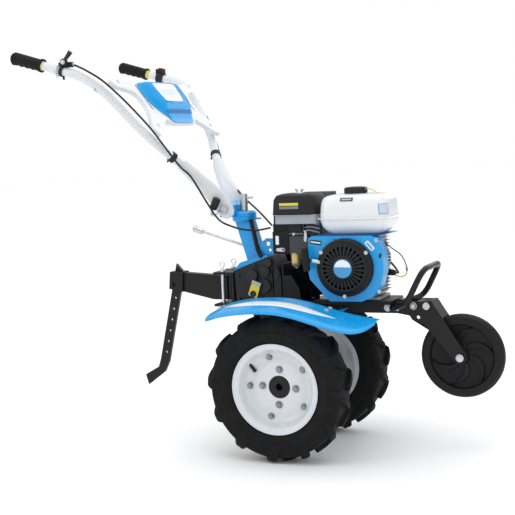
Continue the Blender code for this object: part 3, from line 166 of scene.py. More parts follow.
class Surface:
    """One procedural material, built step by step on a Principled shader."""

    def __init__(self, name, colour, roughness, metallic=0.0, coat=0.0, specular=None):
        self.material = bpy.data.materials.new(name)
        self.material.use_nodes = True
        self.nodes = self.material.node_tree.nodes
        self.links = self.material.node_tree.links
        self.shader = self.nodes["Principled BSDF"]
        self.shader.inputs["Metallic"].default_value = metallic
        self.shader.inputs["Roughness"].default_value = roughness
        self.shader.inputs["Coat Weight"].default_value = coat
        self.shader.inputs["Coat Roughness"].default_value = COAT_ROUGHNESS
        if specular is not None:
            self.shader.inputs["Specular IOR Level"].default_value = specular
        base = self.node("RGB")
        base.outputs[0].default_value = (*colour, 1.0)
        self.colour = base.outputs[0]

    def node(self, kind, inputs=()):
        """Add a shader node. Each input is another node's socket or a plain value."""
        made = self.nodes.new("ShaderNode" + kind)
        for name, value in dict(inputs).items():
            if isinstance(value, bpy.types.NodeSocket):
                self.links.new(value, made.inputs[name])
            else:
                made.inputs[name].default_value = value
        return made

    def noise(self, scale, detail=4.0, roughness=0.55, stretch=None):
        place = self.node("TexCoord").outputs["Object"]
        if stretch:
            place = self.node("Mapping", {"Scale": stretch, "Vector": place}).outputs["Vector"]
        made = self.node("TexNoise", {"Scale": scale, "Detail": detail, "Roughness": roughness,
                                      "Vector": place})
        return made.outputs["Fac"]

    def ramp(self, value, low, high, a=0.0, b=1.0):
        """Turn low to high into a to b."""
        made = self.node("MapRange", {"From Min": low, "From Max": high, "To Min": a, "To Max": b,
                                      "Value": value})
        return made.outputs["Result"]

    def times(self, a, b):
        made = self.node("Math")
        made.operation = "MULTIPLY"
        self.links.new(a, made.inputs[0])
        self.links.new(b, made.inputs[1])
        return made.outputs[0]

    def edges(self, low, high):
        """Where the surface is sharply convex."""
        return self.ramp(self.node("NewGeometry").outputs["Pointiness"], low, high)

    def facing_up(self):
        made = self.node("SeparateXYZ", {"Vector": self.node("NewGeometry").outputs["Normal"]})
        return self.ramp(made.outputs["Z"], 0.15, 1.0)

    def tint(self, amount, colour):
        """Mix a colour over what is there, by a mask."""
        made = self.node("Mix")
        made.data_type = "RGBA"
        self.links.new(amount, made.inputs["Factor"])
        self.links.new(self.colour, made.inputs["A"])
        made.inputs["B"].default_value = (*colour, 1.0)
        self.colour = made.outputs["Result"]

    def vary_rough(self, value, low, high):
        self.links.new(self.ramp(value, 0.3, 0.7, low, high), self.shader.inputs["Roughness"])

    def bump(self, value, depth):
        """Add relief of that depth in metres."""
        made = self.node("Bump", {"Strength": 1.0, "Distance": depth, "Height": value})
        self.links.new(made.outputs["Normal"], self.shader.inputs["Normal"])

    def done(self):
        self.links.new(self.colour, self.shader.inputs["Base Color"])
        return self.material


def paint(name, colour, roughness=0.25, coat=0.4, worn=(0.1, 0.1, 0.11), shade=0.86, specular=0.4,
          dust=0.05, wear=0.22, peel=0.00006):
    """Sprayed enamel: orange peel, a little unevenness, dust on top faces, wear on sharp edges."""
    s = Surface(name, colour, roughness, coat=coat, specular=specular)
    s.tint(s.ramp(s.noise(9.0), 0.35, 0.75, 0.0, 0.5), tuple(c * shade for c in colour))
    s.tint(s.times(s.facing_up(), s.ramp(s.noise(28.0), 0.45, 0.75, 0.0, dust)), (0.62, 0.61, 0.58))
    s.tint(s.times(s.edges(0.57, 0.66), s.ramp(s.noise(70.0), 0.5, 0.7, 0.0, wear)), worn)
    s.vary_rough(s.noise(60.0), roughness * 0.8, roughness * 1.35)
    s.bump(s.noise(420.0, 2.0), peel)
    return s.done()


def moulded(name, colour, roughness=0.5, grain=0.00012, lighter=(0.028, 0.028, 0.03), specular=0.22):
    """Moulded plastic with a spark-eroded grain and rubbed edges."""
    s = Surface(name, colour, roughness, specular=specular)
    s.tint(s.ramp(s.noise(14.0), 0.4, 0.7, 0.0, 0.35), tuple(c * 0.7 for c in colour))
    s.tint(s.edges(0.53, 0.6), lighter)
    s.vary_rough(s.noise(90.0), roughness * 0.85, min(1.0, roughness * 1.2))
    s.bump(s.noise(900.0, 2.0), grain)
    return s.done()


def rubber(name, colour, roughness=0.75, dust=0.12):
    """Vulcanised rubber with a mould bloom, fine pits and a little dust."""
    s = Surface(name, colour, roughness, specular=0.15)
    s.tint(s.ramp(s.noise(24.0), 0.42, 0.75, 0.0, 0.6), tuple(c * 1.7 for c in colour))
    s.tint(s.times(s.edges(0.52, 0.58), s.ramp(s.noise(120.0), 0.4, 0.7, 0.0, dust)), (0.16, 0.155, 0.15))
    s.vary_rough(s.noise(50.0), roughness * 0.82, min(1.0, roughness * 1.15))
    s.bump(s.noise(650.0, 3.0), 0.00015)
    return s.done()


def steel(name, colour, roughness=0.32, stretch=(1.0, 1.0, 14.0)):
    """Zinc-plated steel with fine drawing lines and cloudy plating."""
    s = Surface(name, colour, roughness, metallic=1.0)
    s.tint(s.ramp(s.noise(36.0), 0.4, 0.75, 0.0, 0.5), tuple(c * 0.72 for c in colour))
    s.vary_rough(s.noise(240.0, stretch=stretch), roughness * 0.7, roughness * 1.5)
    s.bump(s.noise(380.0, stretch=stretch), 0.00005)
    return s.done()


def cast(name, colour, roughness=0.55, metallic=0.8, grain=0.00045):
    """Sand-cast metal with a pitted skin."""
    s = Surface(name, colour, roughness, metallic=metallic)
    s.tint(s.ramp(s.noise(22.0), 0.4, 0.7, 0.0, 0.6), tuple(c * 0.6 for c in colour))
    s.tint(s.edges(0.52, 0.6), tuple(min(1.0, c * 1.5 + 0.02) for c in colour))
    s.vary_rough(s.noise(120.0), roughness * 0.8, min(1.0, roughness * 1.25))
    s.bump(s.noise(330.0, 5.0, 0.7), grain)
    return s.done()


BLUE_COLOUR = (0.004, 0.325, 0.74)
LOOKS = {
    "blue_paint": paint("look_blue_paint", BLUE_COLOUR, 0.26, 0.3, shade=0.93, dust=0.02, wear=0.1,
                        peel=0.00003),
    "blue_dark": paint("look_blue_dark", (0.004, 0.175, 0.5), 0.3, 0.5),
    "black_paint": paint("look_black_paint", (0.007, 0.007, 0.008), 0.36, 0.08, worn=(0.14, 0.14, 0.15),
                         specular=0.25, dust=0.02),
    "white_paint": paint("look_white_paint", (0.68, 0.71, 0.74), 0.27, 0.5, worn=(0.45, 0.46, 0.48),
                         shade=0.975, dust=0.02, wear=0.03, peel=0.00002),
    "white_tank": paint("look_white_tank", (0.76, 0.785, 0.8), 0.22, 0.6, worn=(0.55, 0.56, 0.58),
                        shade=0.98, dust=0.02, wear=0.03, peel=0.00002),
    "dark_steel": cast("look_dark_steel", (0.03, 0.03, 0.032), 0.6, 0.5, 0.0002),
    "black_plastic": moulded("look_black_plastic", (0.009, 0.009, 0.01), 0.48),
    "grey_plastic": moulded("look_grey_plastic", (0.3, 0.33, 0.37), 0.5, lighter=(0.45, 0.48, 0.52)),
    "blue_plastic": moulded("look_blue_plastic", BLUE_COLOUR, 0.3, 0.00004, lighter=(0.05, 0.42, 0.85)),
    "white_plastic": moulded("look_white_plastic", (0.74, 0.78, 0.81), 0.34, 0.00005,
                             lighter=(0.8, 0.83, 0.86)),
    "red_plastic": moulded("look_red_plastic", (0.62, 0.02, 0.012), 0.35, 0.00004, lighter=(0.7, 0.1, 0.08)),
    "tyre_rubber": rubber("look_tyre_rubber", (0.008, 0.008, 0.0085), 0.72),
    "grip_rubber": rubber("look_grip_rubber", (0.008, 0.008, 0.009), 0.6, 0.1),
    "zinc_steel": steel("look_zinc_steel", (0.62, 0.65, 0.68), 0.3),
    "cast_aluminium": cast("look_cast_aluminium", (0.36, 0.38, 0.4), 0.48, 0.9, 0.0003),
    "black_cast_iron": cast("look_black_cast_iron", (0.012, 0.012, 0.014), 0.5, 0.3, 0.0004),
    "bolt_steel": steel("look_bolt_steel", (0.3, 0.32, 0.34), 0.38),
    "dark_cast": cast("look_dark_cast", (0.045, 0.046, 0.05), 0.5, 0.6, 0.0003),
    "dark_bolt": steel("look_dark_bolt", (0.05, 0.05, 0.055), 0.45),
    "brass": steel("look_brass", (0.62, 0.45, 0.18), 0.35),
    "label_white": paint("look_label_white", (0.8, 0.84, 0.88), 0.3, 0.3, worn=(0.6, 0.62, 0.64),
                         shade=0.95),
    "label_pale": paint("look_label_pale", (0.52, 0.62, 0.72), 0.3, 0.3, worn=(0.6, 0.62, 0.64), shade=0.95),
    "label_yellow": paint("look_label_yellow", (0.72, 0.62, 0.05), 0.35, 0.3, worn=(0.4, 0.35, 0.1)),
    "label_blue": paint("look_label_blue", (0.05, 0.3, 0.62), 0.3, 0.3, worn=(0.1, 0.3, 0.5)),
    "label_grey": paint("look_label_grey", (0.42, 0.44, 0.44), 0.35, 0.2, worn=(0.3, 0.3, 0.3)),
    "green_plastic": moulded("look_green_plastic", (0.05, 0.32, 0.1), 0.4, 0.00003,
                             lighter=(0.1, 0.4, 0.15)),
    "yellow_wire": moulded("look_yellow_wire", (0.6, 0.48, 0.03), 0.45, 0.00003, lighter=(0.6, 0.5, 0.1)),
    "rope": moulded("look_rope", (0.03, 0.03, 0.032), 0.9, 0.0004, lighter=(0.05, 0.05, 0.05)),
}
NODE_SLOT = {s["node"]: s["material_slot"] for s in frame["record"]["subparts"]}
EDGE_WIDTH = {"tyre_rubber": 0.0012, "zinc_steel": 0.0004}
PLAIN_EDGE = 0.0008
SHARP_ANGLE, CREASE_ANGLE = 32, 38  # degrees: edges that are rounded, and edges that stay sharp when shaded
NODE_LOOK = {"carburettor": "dark_cast"}
NODE_EDGE = {"fan_shroud": 0.006, "air_cleaner_cover": 0.003, "muffler": 0.005,
             "muffler_guard": 0.003, "gear_case_right": 0.0025, "gear_case_left": 0.0025,
             "swivel_head": 0.0015, "clamp_lever": 0.001, "crankcase": 0.003,
             "throttle_clamp": 0.002, "switch_housing": 0.002, "control_box": 0.002}


def soften(thing, width, segments=2):
    """Round the sharp edges with a bevel."""
    edge = thing.modifiers.new("edges", "BEVEL")
    edge.width = width
    edge.segments = segments
    edge.limit_method = "ANGLE"
    edge.angle_limit = radians(SHARP_ANGLE)
    edge.harden_normals = True


def dress_node(name, slot):
    """Give a frame node its material, smooth shading and softly rounded edges."""
    thing = nodes[name]
    mesh = thing.data
    if "custom_normal" in mesh.attributes:
        mesh.attributes.remove(mesh.attributes["custom_normal"])
    mesh.shade_smooth()
    mesh.materials.clear()
    mesh.materials.append(LOOKS[NODE_LOOK.get(name, slot)])
    weld = thing.modifiers.new("weld", "WELD")
    weld.merge_threshold = 0.00002
    soften(thing, NODE_EDGE.get(name, EDGE_WIDTH.get(slot, PLAIN_EDGE)))


make_camera()
make_studio()
for node_name, node_slot in NODE_SLOT.items():
    dress_node(node_name, node_slot)


# ---------------------------------------------------------------- shape helpers
def keep(name, shape, look, body, replaces=(), bevel=0.0):
    """Make a piece from a bmesh, put it on its body and hide the frame parts it replaces."""
    bmesh.ops.recalc_face_normals(shape, faces=shape.faces[:])
    mesh = bpy.data.meshes.new(name)
    shape.to_mesh(mesh)
    shape.free()
    mesh.shade_smooth()
    if not bevel:
        mesh.set_sharp_from_angle(angle=radians(CREASE_ANGLE))
    mesh.materials.append(LOOKS[look])
    piece = bpy.data.objects.new(name, mesh)
    bpy.context.scene.collection.objects.link(piece)
    if bevel:
        soften(piece, bevel)
    if body:
        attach(piece, body)
    if replaces:
        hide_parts(*replaces)
    return piece


def merge(*shapes):
    """Put several bmeshes into one."""
    whole = bmesh.new()
    for shape in shapes:
        carrier = bpy.data.meshes.new("carrier")
        shape.to_mesh(carrier)
        shape.free()
        whole.from_mesh(carrier)
        bpy.data.meshes.remove(carrier)
    return whole


def rings(loops, closed=False, caps=True):
    """Skin a list of equal loops of points."""
    shape = bmesh.new()
    made = [[shape.verts.new(p) for p in loop] for loop in loops]
    count = len(made[0])
    spans = list(zip(made, made[1:] + made[:1])) if closed else list(zip(made, made[1:]))
    for a, b in spans:
        for i in range(count):
            j = (i + 1) % count
            shape.faces.new((a[i], a[j], b[j], b[i]))
    if caps and not closed:
        shape.faces.new(list(reversed(made[0])))
        shape.faces.new(made[-1])
    return shape


def lathe(profile, centre, direction=(0.0, 1.0, 0.0), sides=64, ring=False):
    """Turn (along, radius) points about an axis; a ring's profile closes on itself."""
    axis = Vector(direction).normalized()
    across = axis.cross(Vector((0.0, 0.0, 1.0)))
    if across.length < 0.1:
        across = axis.cross(Vector((1.0, 0.0, 0.0)))
    across.normalize()
    other = axis.cross(across)
    loops = []
    for along, radius in profile:
        r = max(radius, 0.00001)
        loops.append([Vector(centre) + axis * along + (across * cos(2 * pi * i / sides)
                      + other * sin(2 * pi * i / sides)) * r for i in range(sides)])
    return rings(loops, closed=ring)


def smooth_path(points, steps=6):
    """Catmull-Rom points through a route."""
    p = [Vector(q) for q in points]
    p = [p[0] * 2 - p[1]] + p + [p[-1] * 2 - p[-2]]
    route = []
    for i in range(1, len(p) - 2):
        for k in range(steps):
            t = k / steps
            a, b, c, d = p[i - 1], p[i], p[i + 1], p[i + 2]
            route.append(0.5 * (2 * b + (c - a) * t + (2 * a - 5 * b + 4 * c - d) * t * t
                                + (3 * b - a - 3 * c + d) * t ** 3))
    route.append(p[-2])
    return route


def tube(points, radius, sides=14, steps=5):
    """A round bar along a route given from the axle, with one radius or one for each point."""
    route = smooth_path([at(*p) for p in points], steps)
    radii = radius if isinstance(radius, (list, tuple)) else [radius] * len(points)
    size = []
    for a, b in zip(radii, radii[1:]):
        size += [a + (b - a) * k / steps for k in range(steps)]
    size.append(radii[-1])
    across = None
    loops = []
    for i, p in enumerate(route):
        along = (route[min(i + 1, len(route) - 1)] - route[max(i - 1, 0)]).normalized()
        if across is None:
            across = along.orthogonal().normalized()
        across = (across - along * across.dot(along)).normalized()
        other = along.cross(across)
        loops.append([p + (across * cos(2 * pi * j / sides) + other * sin(2 * pi * j / sides)) * size[i]
                      for j in range(sides)])
    return rings(loops)


def box(low, high):
    """A box between two corners given from the axle."""
    a, b = at(*low), at(*high)
    floor = [(a.x, a.y), (b.x, a.y), (b.x, b.y), (a.x, b.y)]
    return rings([[Vector((x, y, z)) for x, y in floor] for z in (a.z, b.z)])


def arc(centre, radius, start, end, steps):
    return [(centre[0] + radius * cos(radians(start + (end - start) * i / steps)),
             centre[1] + radius * sin(radians(start + (end - start) * i / steps)))
            for i in range(steps + 1)]


def rounded(low, high, corner, steps=6):
    """An outline with round corners, anticlockwise."""
    points = []
    for cx, cy, start in ((high[0] - corner, high[1] - corner, 0), (low[0] + corner, high[1] - corner, 90),
                          (low[0] + corner, low[1] + corner, 180),
                          (high[0] - corner, low[1] + corner, 270)):
        points += arc((cx, cy), corner, start, start + 90, steps)
    return points


def bolt(place, direction, size, washer=True, tall=0.6):
    """A hexagon bolt head with a chamfer, on a washer. size is the head's radius."""
    axis = Vector(direction).normalized()
    head = lathe([(0.0, 0.0), (0.0, size), (size * tall * 0.8, size), (size * tall, size * 0.86),
                  (size * tall, 0.0)], Vector(at(*place)) + axis * (0.0012 if washer else 0.0), axis, 6)
    if not washer:
        return head
    disc = lathe([(-0.0006, 0.0), (-0.0006, size * 1.5), (0.001, size * 1.5), (0.0014, size * 1.42),
                  (0.0014, 0.0)], at(*place), axis, 24)
    return merge(head, disc)


def bolts(name, places, direction, size, look, body, bevel=0.0004, tall=0.6):
    """Keep a row of bolt heads as one piece. Each place may bring its own direction after x, y and z."""
    heads = [bolt(place[:3], place[3] if len(place) > 3 else direction, size, tall=tall) for place in places]
    keep(name, merge(*heads), look, body, bevel=bevel)


def side_plate(name, centre, half, corner, tilt, faces, look, steps=6):
    """A blank plate on the machine's side: centre and half size in (x, z), and its two faces' y."""
    turn = radians(tilt)
    outline = rounded((-half[0], -half[1]), half, corner, steps)
    keep(name, rings([[at(centre[0] + u * cos(turn) - w * sin(turn), y,
                          centre[1] + u * sin(turn) + w * cos(turn)) for u, w in outline]
                      for y in faces]), look, "chassis")


# ---------------------------------------------------------------- drive wheels
TRACK_HALF = 0.194
TYRE_RADIUS = AXLE_Z
LUG_COUNT = 12
LUG_HEIGHT = 0.0145
LUG_FLARE, LUG_ROOT, LUG_SWEEP = 0.0035, 0.004, 1.15  # wider foot, depth into the casing, share of turn
SHOULDER_RADIUS = 0.218


def wheel_point(y, radius, angle):
    return at(radius * sin(angle), y, AXLE_Z + radius * cos(angle))


def make_tyre(side, word):
    """A ribbed casing with two staggered rows of swept, bevelled lugs."""
    base = TYRE_RADIUS - LUG_HEIGHT
    outer = [(-0.0365, 0.129), (-0.0395, 0.135), (-0.04, 0.1445), (-0.0455, 0.147), (-0.049, 0.153),
             (-0.05, 0.156), (-0.052, 0.158), (-0.053, 0.164), (-0.0532, 0.174), (-0.0545, 0.176),
             (-0.0545, 0.179), (-0.0528, 0.181), (-0.052, 0.19), (-0.0512, 0.201), (-0.0485, 0.209),
             (-0.043, base - 0.0035), (-0.028, base - 0.001), (-0.012, base), (0.0, base + 0.0002)]
    whole = outer + [(-y, r) for y, r in reversed(outer[:-1])]
    inner = [(0.031, 0.129), (0.032, 0.15), (0.042, 0.178), (0.028, 0.203), (-0.028, 0.203),
             (-0.042, 0.178), (-0.032, 0.15), (-0.031, 0.129)]
    sides = 96
    loops = [[wheel_point(side * TRACK_HALF + y, r, 2 * pi * i / sides) for i in range(sides)]
             for y, r in whole + inner]
    shapes = [rings(loops, closed=True)]
    # along a lug, from the sidewall to the middle: y, radius, depth, turn about the axle and half width
    spine = [(0.0548, 0.1855, 0.002, 0.0, 0.0105), (0.0545, 0.196, 0.005, 0.01, 0.0115),
             (0.0535, 0.206, 0.009, 0.022, 0.0125), (0.0505, 0.2165, 0.0125, 0.04, 0.013),
             (0.044, 0.227, 0.0135, 0.066, 0.0125), (0.03, 0.2305, 0.0145, 0.104, 0.0115),
             (0.014, 0.2318, 0.015, 0.146, 0.0105), (-0.001, 0.2322, 0.015, 0.184, 0.0095),
             (-0.005, 0.232, 0.015, 0.194, 0.0085)]
    for row in (-1, 1):
        for i in range(LUG_COUNT):
            turn = 2 * pi * (i + (0.5 if row > 0 else 0.0)) / LUG_COUNT
            loops = []
            for y, radius, depth, advance, half in spine:
                foot = half + LUG_FLARE
                low = radius - depth - LUG_ROOT
                inward = 0.0 if radius > SHOULDER_RADIUS else 0.0045
                points = []
                for r, w, pull in ((low, -foot, inward), (radius, -half, 0.0), (radius, half, 0.0),
                                   (low, foot, inward)):
                    angle = turn + advance * LUG_SWEEP + w / radius
                    points.append(wheel_point(side * TRACK_HALF + row * (y - pull), r, angle))
                loops.append(points if row > 0 else points[::-1])
            shapes.append(rings(loops))
    keep("tyre_casing_" + word, merge(*shapes), "tyre_rubber", "drive_wheels", ["tyre_" + word],
         bevel=0.0013)


def make_rim(side, word):
    """Pressed wheel: rolled flange, drop-centre barrel, dished disc with a stamped step."""
    profile = [(0.003, 0.0358), (0.003, 0.06), (0.0036, 0.072), (0.003, 0.084), (0.0012, 0.09),
               (0.002, 0.098), (0.006, 0.107), (0.011, 0.113), (0.024, 0.118), (0.037, 0.1225),
               (0.0395, 0.126), (0.0405, 0.134), (0.043, 0.1385), (0.0448, 0.1398), (0.045, 0.1412),
               (0.0442, 0.1423), (0.0425, 0.1418), (0.04, 0.138), (0.0388, 0.13), (0.0385, 0.1265),
               (0.018, 0.1255), (0.012, 0.1195), (-0.012, 0.1195), (-0.018, 0.1255), (-0.0385, 0.1265),
               (-0.0388, 0.13), (-0.04, 0.138), (-0.0425, 0.1418), (-0.0442, 0.1423),
               (-0.045, 0.1412), (-0.0448, 0.1398), (-0.043, 0.1385), (-0.04, 0.125),
               (-0.016, 0.1222), (-0.009, 0.114), (0.0, 0.1), (0.0, 0.0358)]
    shape = lathe(profile, (AXLE_X, side * TRACK_HALF, AXLE_Z), (0.0, side, 0.0), 96, ring=True)
    keep("wheel_disc_" + word, shape, "white_paint", "drive_wheels", ["rim_" + word])
    for name, count, first, circle, proud, size in (("hub_bolts_", 4, 3, 0.0555, 0.003, 0.0082),
                                                    ("disc_bolts_", 5, -17.5, 0.0995, 0.0028, 0.0078)):
        angles = [radians(first + 360 / count * i) for i in range(count)]
        bolts(name + word, [(circle * sin(a), side * (TRACK_HALF + proud), AXLE_Z + circle * cos(a))
                            for a in angles], (0, side, 0), size, "bolt_steel", "drive_wheels", tall=0.8)
    valve = [(-0.078, side * 0.199, 0.279), (-0.086, side * 0.204, 0.293),
             (-0.095, side * 0.209, 0.308)]
    keep("valve_" + word, tube(valve, [0.0058, 0.005, 0.0042], 12), "black_plastic", "drive_wheels")


for hand, hand_word in ((-1, "right"), (1, "left")):
    make_tyre(hand, hand_word)
    make_rim(hand, hand_word)


# ---------------------------------------------------------------- front transport wheel
FRONT_WHEEL = (0.531, 0.312)


def front_point(y, radius, angle):
    return at(FRONT_WHEEL[0] + radius * cos(angle), y, FRONT_WHEEL[1] + radius * sin(angle))


def make_front_wheel():
    """Moulded wheel with a ribbed tread, a recessed web and six swept blades on each face."""
    centre = at(FRONT_WHEEL[0], 0.0, FRONT_WHEEL[1])
    half = [(0.033, 0.007), (0.033, 0.016), (0.0315, 0.0185), (0.019, 0.0215), (0.011, 0.0245),
            (0.0075, 0.03), (0.007, 0.06), (0.0075, 0.092), (0.01, 0.0965), (0.019, 0.0985),
            (0.0228, 0.1005), (0.0235, 0.104), (0.0222, 0.1085), (0.0228, 0.115), (0.0215, 0.1215),
            (0.018, 0.125), (0.016, 0.1262), (0.015, 0.1238), (0.013, 0.1238), (0.012, 0.1275),
            (0.006, 0.1288), (0.005, 0.1262), (0.003, 0.1262), (0.002, 0.129)]
    profile = half + [(-y, r) for y, r in reversed(half)]
    shapes = [lathe(profile, centre, sides=96, ring=True)]
    for side in (-1, 1):
        for i in range(6):
            loops = []
            for k in range(11):
                t = k / 10
                radius = 0.023 + 0.074 * t
                angle = 2 * pi * i / 6 + side * 0.95 * t ** 1.3
                width = (0.0042 + 0.015 * sin(pi * min(1.0, t * 1.05)) ** 0.8) / radius
                top = side * (0.015 + 0.0035 * (1 - t))
                low = side * 0.006
                quad = [front_point(y, radius, angle + width * share)
                        for y, share in ((low, -0.62), (top, -0.46), (top * 0.8, 0.4), (low, 0.62))]
                loops.append(quad if side > 0 else quad[::-1])
            shapes.append(rings(loops))
    keep("front_wheel_moulding", merge(*shapes), "black_plastic", "front_wheel", ["front_wheel"],
         bevel=0.0011)
    bolts("front_axle_nuts", [(FRONT_WHEEL[0], s * 0.0468, FRONT_WHEEL[1], (0, s, 0)) for s in (-1, 1)],
          None, 0.0082, "zinc_steel", "front_fork", 0.0005)


make_front_wheel()


# ---------------------------------------------------------------- fenders and bumper
def make_fender(side, word):
    """Pressed fender: crowned top, raised swage, rolled outer edge and swept ends."""
    stations = [(-0.208, 0.465, 0.207, 0.256), (-0.2, 0.47, 0.174, 0.288),
                (-0.18, 0.48, 0.158, 0.303), (-0.15, 0.4915, 0.151, 0.311),
                (-0.107, 0.5, 0.15, 0.312), (-0.04, 0.5065, 0.15, 0.312),
                (0.03, 0.506, 0.15, 0.312), (0.095, 0.496, 0.15, 0.312),
                (0.16, 0.478, 0.15, 0.312), (0.215, 0.464, 0.15, 0.312),
                (0.265, 0.454, 0.151, 0.311), (0.292, 0.451, 0.158, 0.302),
                (0.313, 0.45, 0.168, 0.28), (0.33, 0.451, 0.19, 0.24)]
    fine = smooth_path([Vector((x, crown, 0.0)) for x, crown, _, _ in stations], 4)
    edges = smooth_path([Vector((inner, outer, 0.0)) for _, _, inner, outer in stations], 4)
    shape = [(0.0, -0.006), (0.012, -0.0022), (0.06, 0.0), (0.14, 0.0006), (0.17, 0.0022), (0.21, 0.0024),
             (0.24, 0.0008), (0.42, 0.0), (0.58, -0.0024), (0.74, -0.008), (0.86, -0.0128), (0.94, -0.017),
             (0.975, -0.0205), (0.992, -0.0245), (1.0, -0.0285)]
    loops = []
    for place, edge in zip(fine, edges):
        inner, outer = edge.x, edge.y
        width = outer - inner
        scale = width / 0.162
        upper = [at(place.x, side * (inner + t * width), place.y + drop * scale) for t, drop in shape]
        lower = []
        for t, drop in reversed(shape):
            lean = -0.0022 if t > 0.97 else 0.0
            lower.append(at(place.x, side * (inner + t * width + lean), place.y + drop * scale - 0.002))
        loops.append(upper + lower)
    shapes = [rings(loops)]
    for low, high, outline in ((0.16, 0.176, [(0.035, 0.4555), (0.105, 0.4555), (0.185, 0.469),
                                                (0.185, 0.4735), (0.104, 0.46), (0.035, 0.46)]),
                               (-0.196, -0.18, [(0.0525, 0.4705), (0.208, 0.4705), (0.208, 0.4745),
                                                 (0.0525, 0.4745)])):
        shapes.append(rings([[at(x, side * y, z) for y, z in outline] for x in (low, high)]))
    keep("fender_skin_" + word, merge(*shapes), "blue_paint", "chassis", ["fender_" + word], bevel=0.0007)
    heads = [(-0.188, 0.2, 0.479), (-0.188, 0.17, 0.4775), (0.168, 0.17, 0.4772),
             (0.168, 0.2, 0.4765)]
    bolts("fender_bolts_" + word, [(x, side * y, z, (0.25 if x > 0 else -0.3, 0, 1)) for x, y, z in heads],
          None, 0.0058, "zinc_steel", "chassis", 0.0003)


def make_bumper():
    """Bent tube hoop with flattened feet bolted to the rails."""
    side = [(0.306, 0.047, 0.4635), (0.333, 0.0545, 0.464), (0.358, 0.076, 0.4735),
            (0.38, 0.096, 0.484), (0.397, 0.101, 0.504), (0.41, 0.101, 0.528),
            (0.424, 0.1, 0.555), (0.4345, 0.093, 0.575), (0.4405, 0.072, 0.586),
            (0.4425, 0.04, 0.588)]
    points = [(x, -y, z) for x, y, z in side] + [(0.4425, 0.0, 0.588)] + side[::-1]
    keep("bumper_tube", tube(points, 0.0092, 18), "black_paint", "chassis", ["bumper_hoop"])
    shapes = [bolt((0.313, s * 0.056, 0.464), (0, s, 0), 0.0075) for s in (-1, 1)]
    shapes += [bolt((0.339, s * 0.0352, 0.458), (0, s, 0), 0.007) for s in (-1, 1)]
    keep("bumper_bolts", merge(*shapes), "zinc_steel", "chassis", bevel=0.0004)
    bolts("fork_bolts", [(x, s * 0.0458, 0.469, (0, s, 0)) for x in (0.392, 0.432) for s in (-1, 1)],
          None, 0.0075, "zinc_steel", "front_fork")


for hand, hand_word in ((-1, "right"), (1, "left")):
    make_fender(hand, hand_word)
make_bumper()


# ---------------------------------------------------------------- handlebars, grips and controls
BAR_POINTS = [(-0.294, 0.088, 0.874), (-0.31, 0.105, 0.898), (-0.324, 0.122, 0.919),
              (-0.347, 0.152, 0.948), (-0.373, 0.19, 0.985), (-0.4, 0.226, 1.024),
              (-0.442, 0.259, 1.083), (-0.478, 0.284, 1.134), (-0.515, 0.308, 1.177),
              (-0.547, 0.323, 1.204), (-0.585, 0.332, 1.2245), (-0.64, 0.334, 1.2408)]
GRIP_START = Vector((-0.7, 0.334, 1.259))
GRIP_AXIS = Vector((-0.957, 0.0, 0.29)).normalized()
GRIP_LENGTH = 0.12
BAR_RADIUS = 0.014
STICKER_RADIUS = BAR_RADIUS + 0.00025


def grip_point(distance, side=1):
    p = GRIP_START + GRIP_AXIS * distance
    return (p.x, p.y * side, p.z)


def make_handlebar(side, word):
    """Bent tube with a flattened, welded cheek at its foot."""
    points = BAR_POINTS + [grip_point(along) for along in (-0.031, 0.0, 0.052, 0.105)]
    radii = [BAR_RADIUS] * len(points)
    bar = tube([(x, side * y, z) for x, y, z in points], radii, 24)
    keep("bar_tube_" + word, bar, "white_paint", "handlebars", ["handlebar_" + word])
    stations = [(-0.333, 0.133, 0.931, 0.015, 0.015), (-0.332, 0.1318, 0.9295, 0.02, 0.02),
                (-0.32, 0.1165, 0.912, 0.0212, 0.02), (-0.3, 0.0945, 0.884, 0.0235, 0.018),
                (-0.278, 0.0745, 0.854, 0.0265, 0.014), (-0.258, 0.063, 0.8275, 0.0292, 0.0095),
                (-0.239, 0.0572, 0.802, 0.0302, 0.0062), (-0.221, 0.055, 0.778, 0.029, 0.0046),
                (-0.209, 0.0548, 0.762, 0.0225, 0.0044), (-0.203, 0.0548, 0.754, 0.012, 0.0042)]
    wide = Vector((0.8, 0.0, 0.6))
    loops = []
    for x, y, z, half, thin in stations:
        centre = at(x, side * y, z)
        loops.append([centre + wide * half * cos(2 * pi * i / 40)
                      + Vector((0, 1, 0)) * thin * sin(2 * pi * i / 40) for i in range(40)])
    keep("bar_foot_" + word, rings(loops), "white_paint", "handlebars")


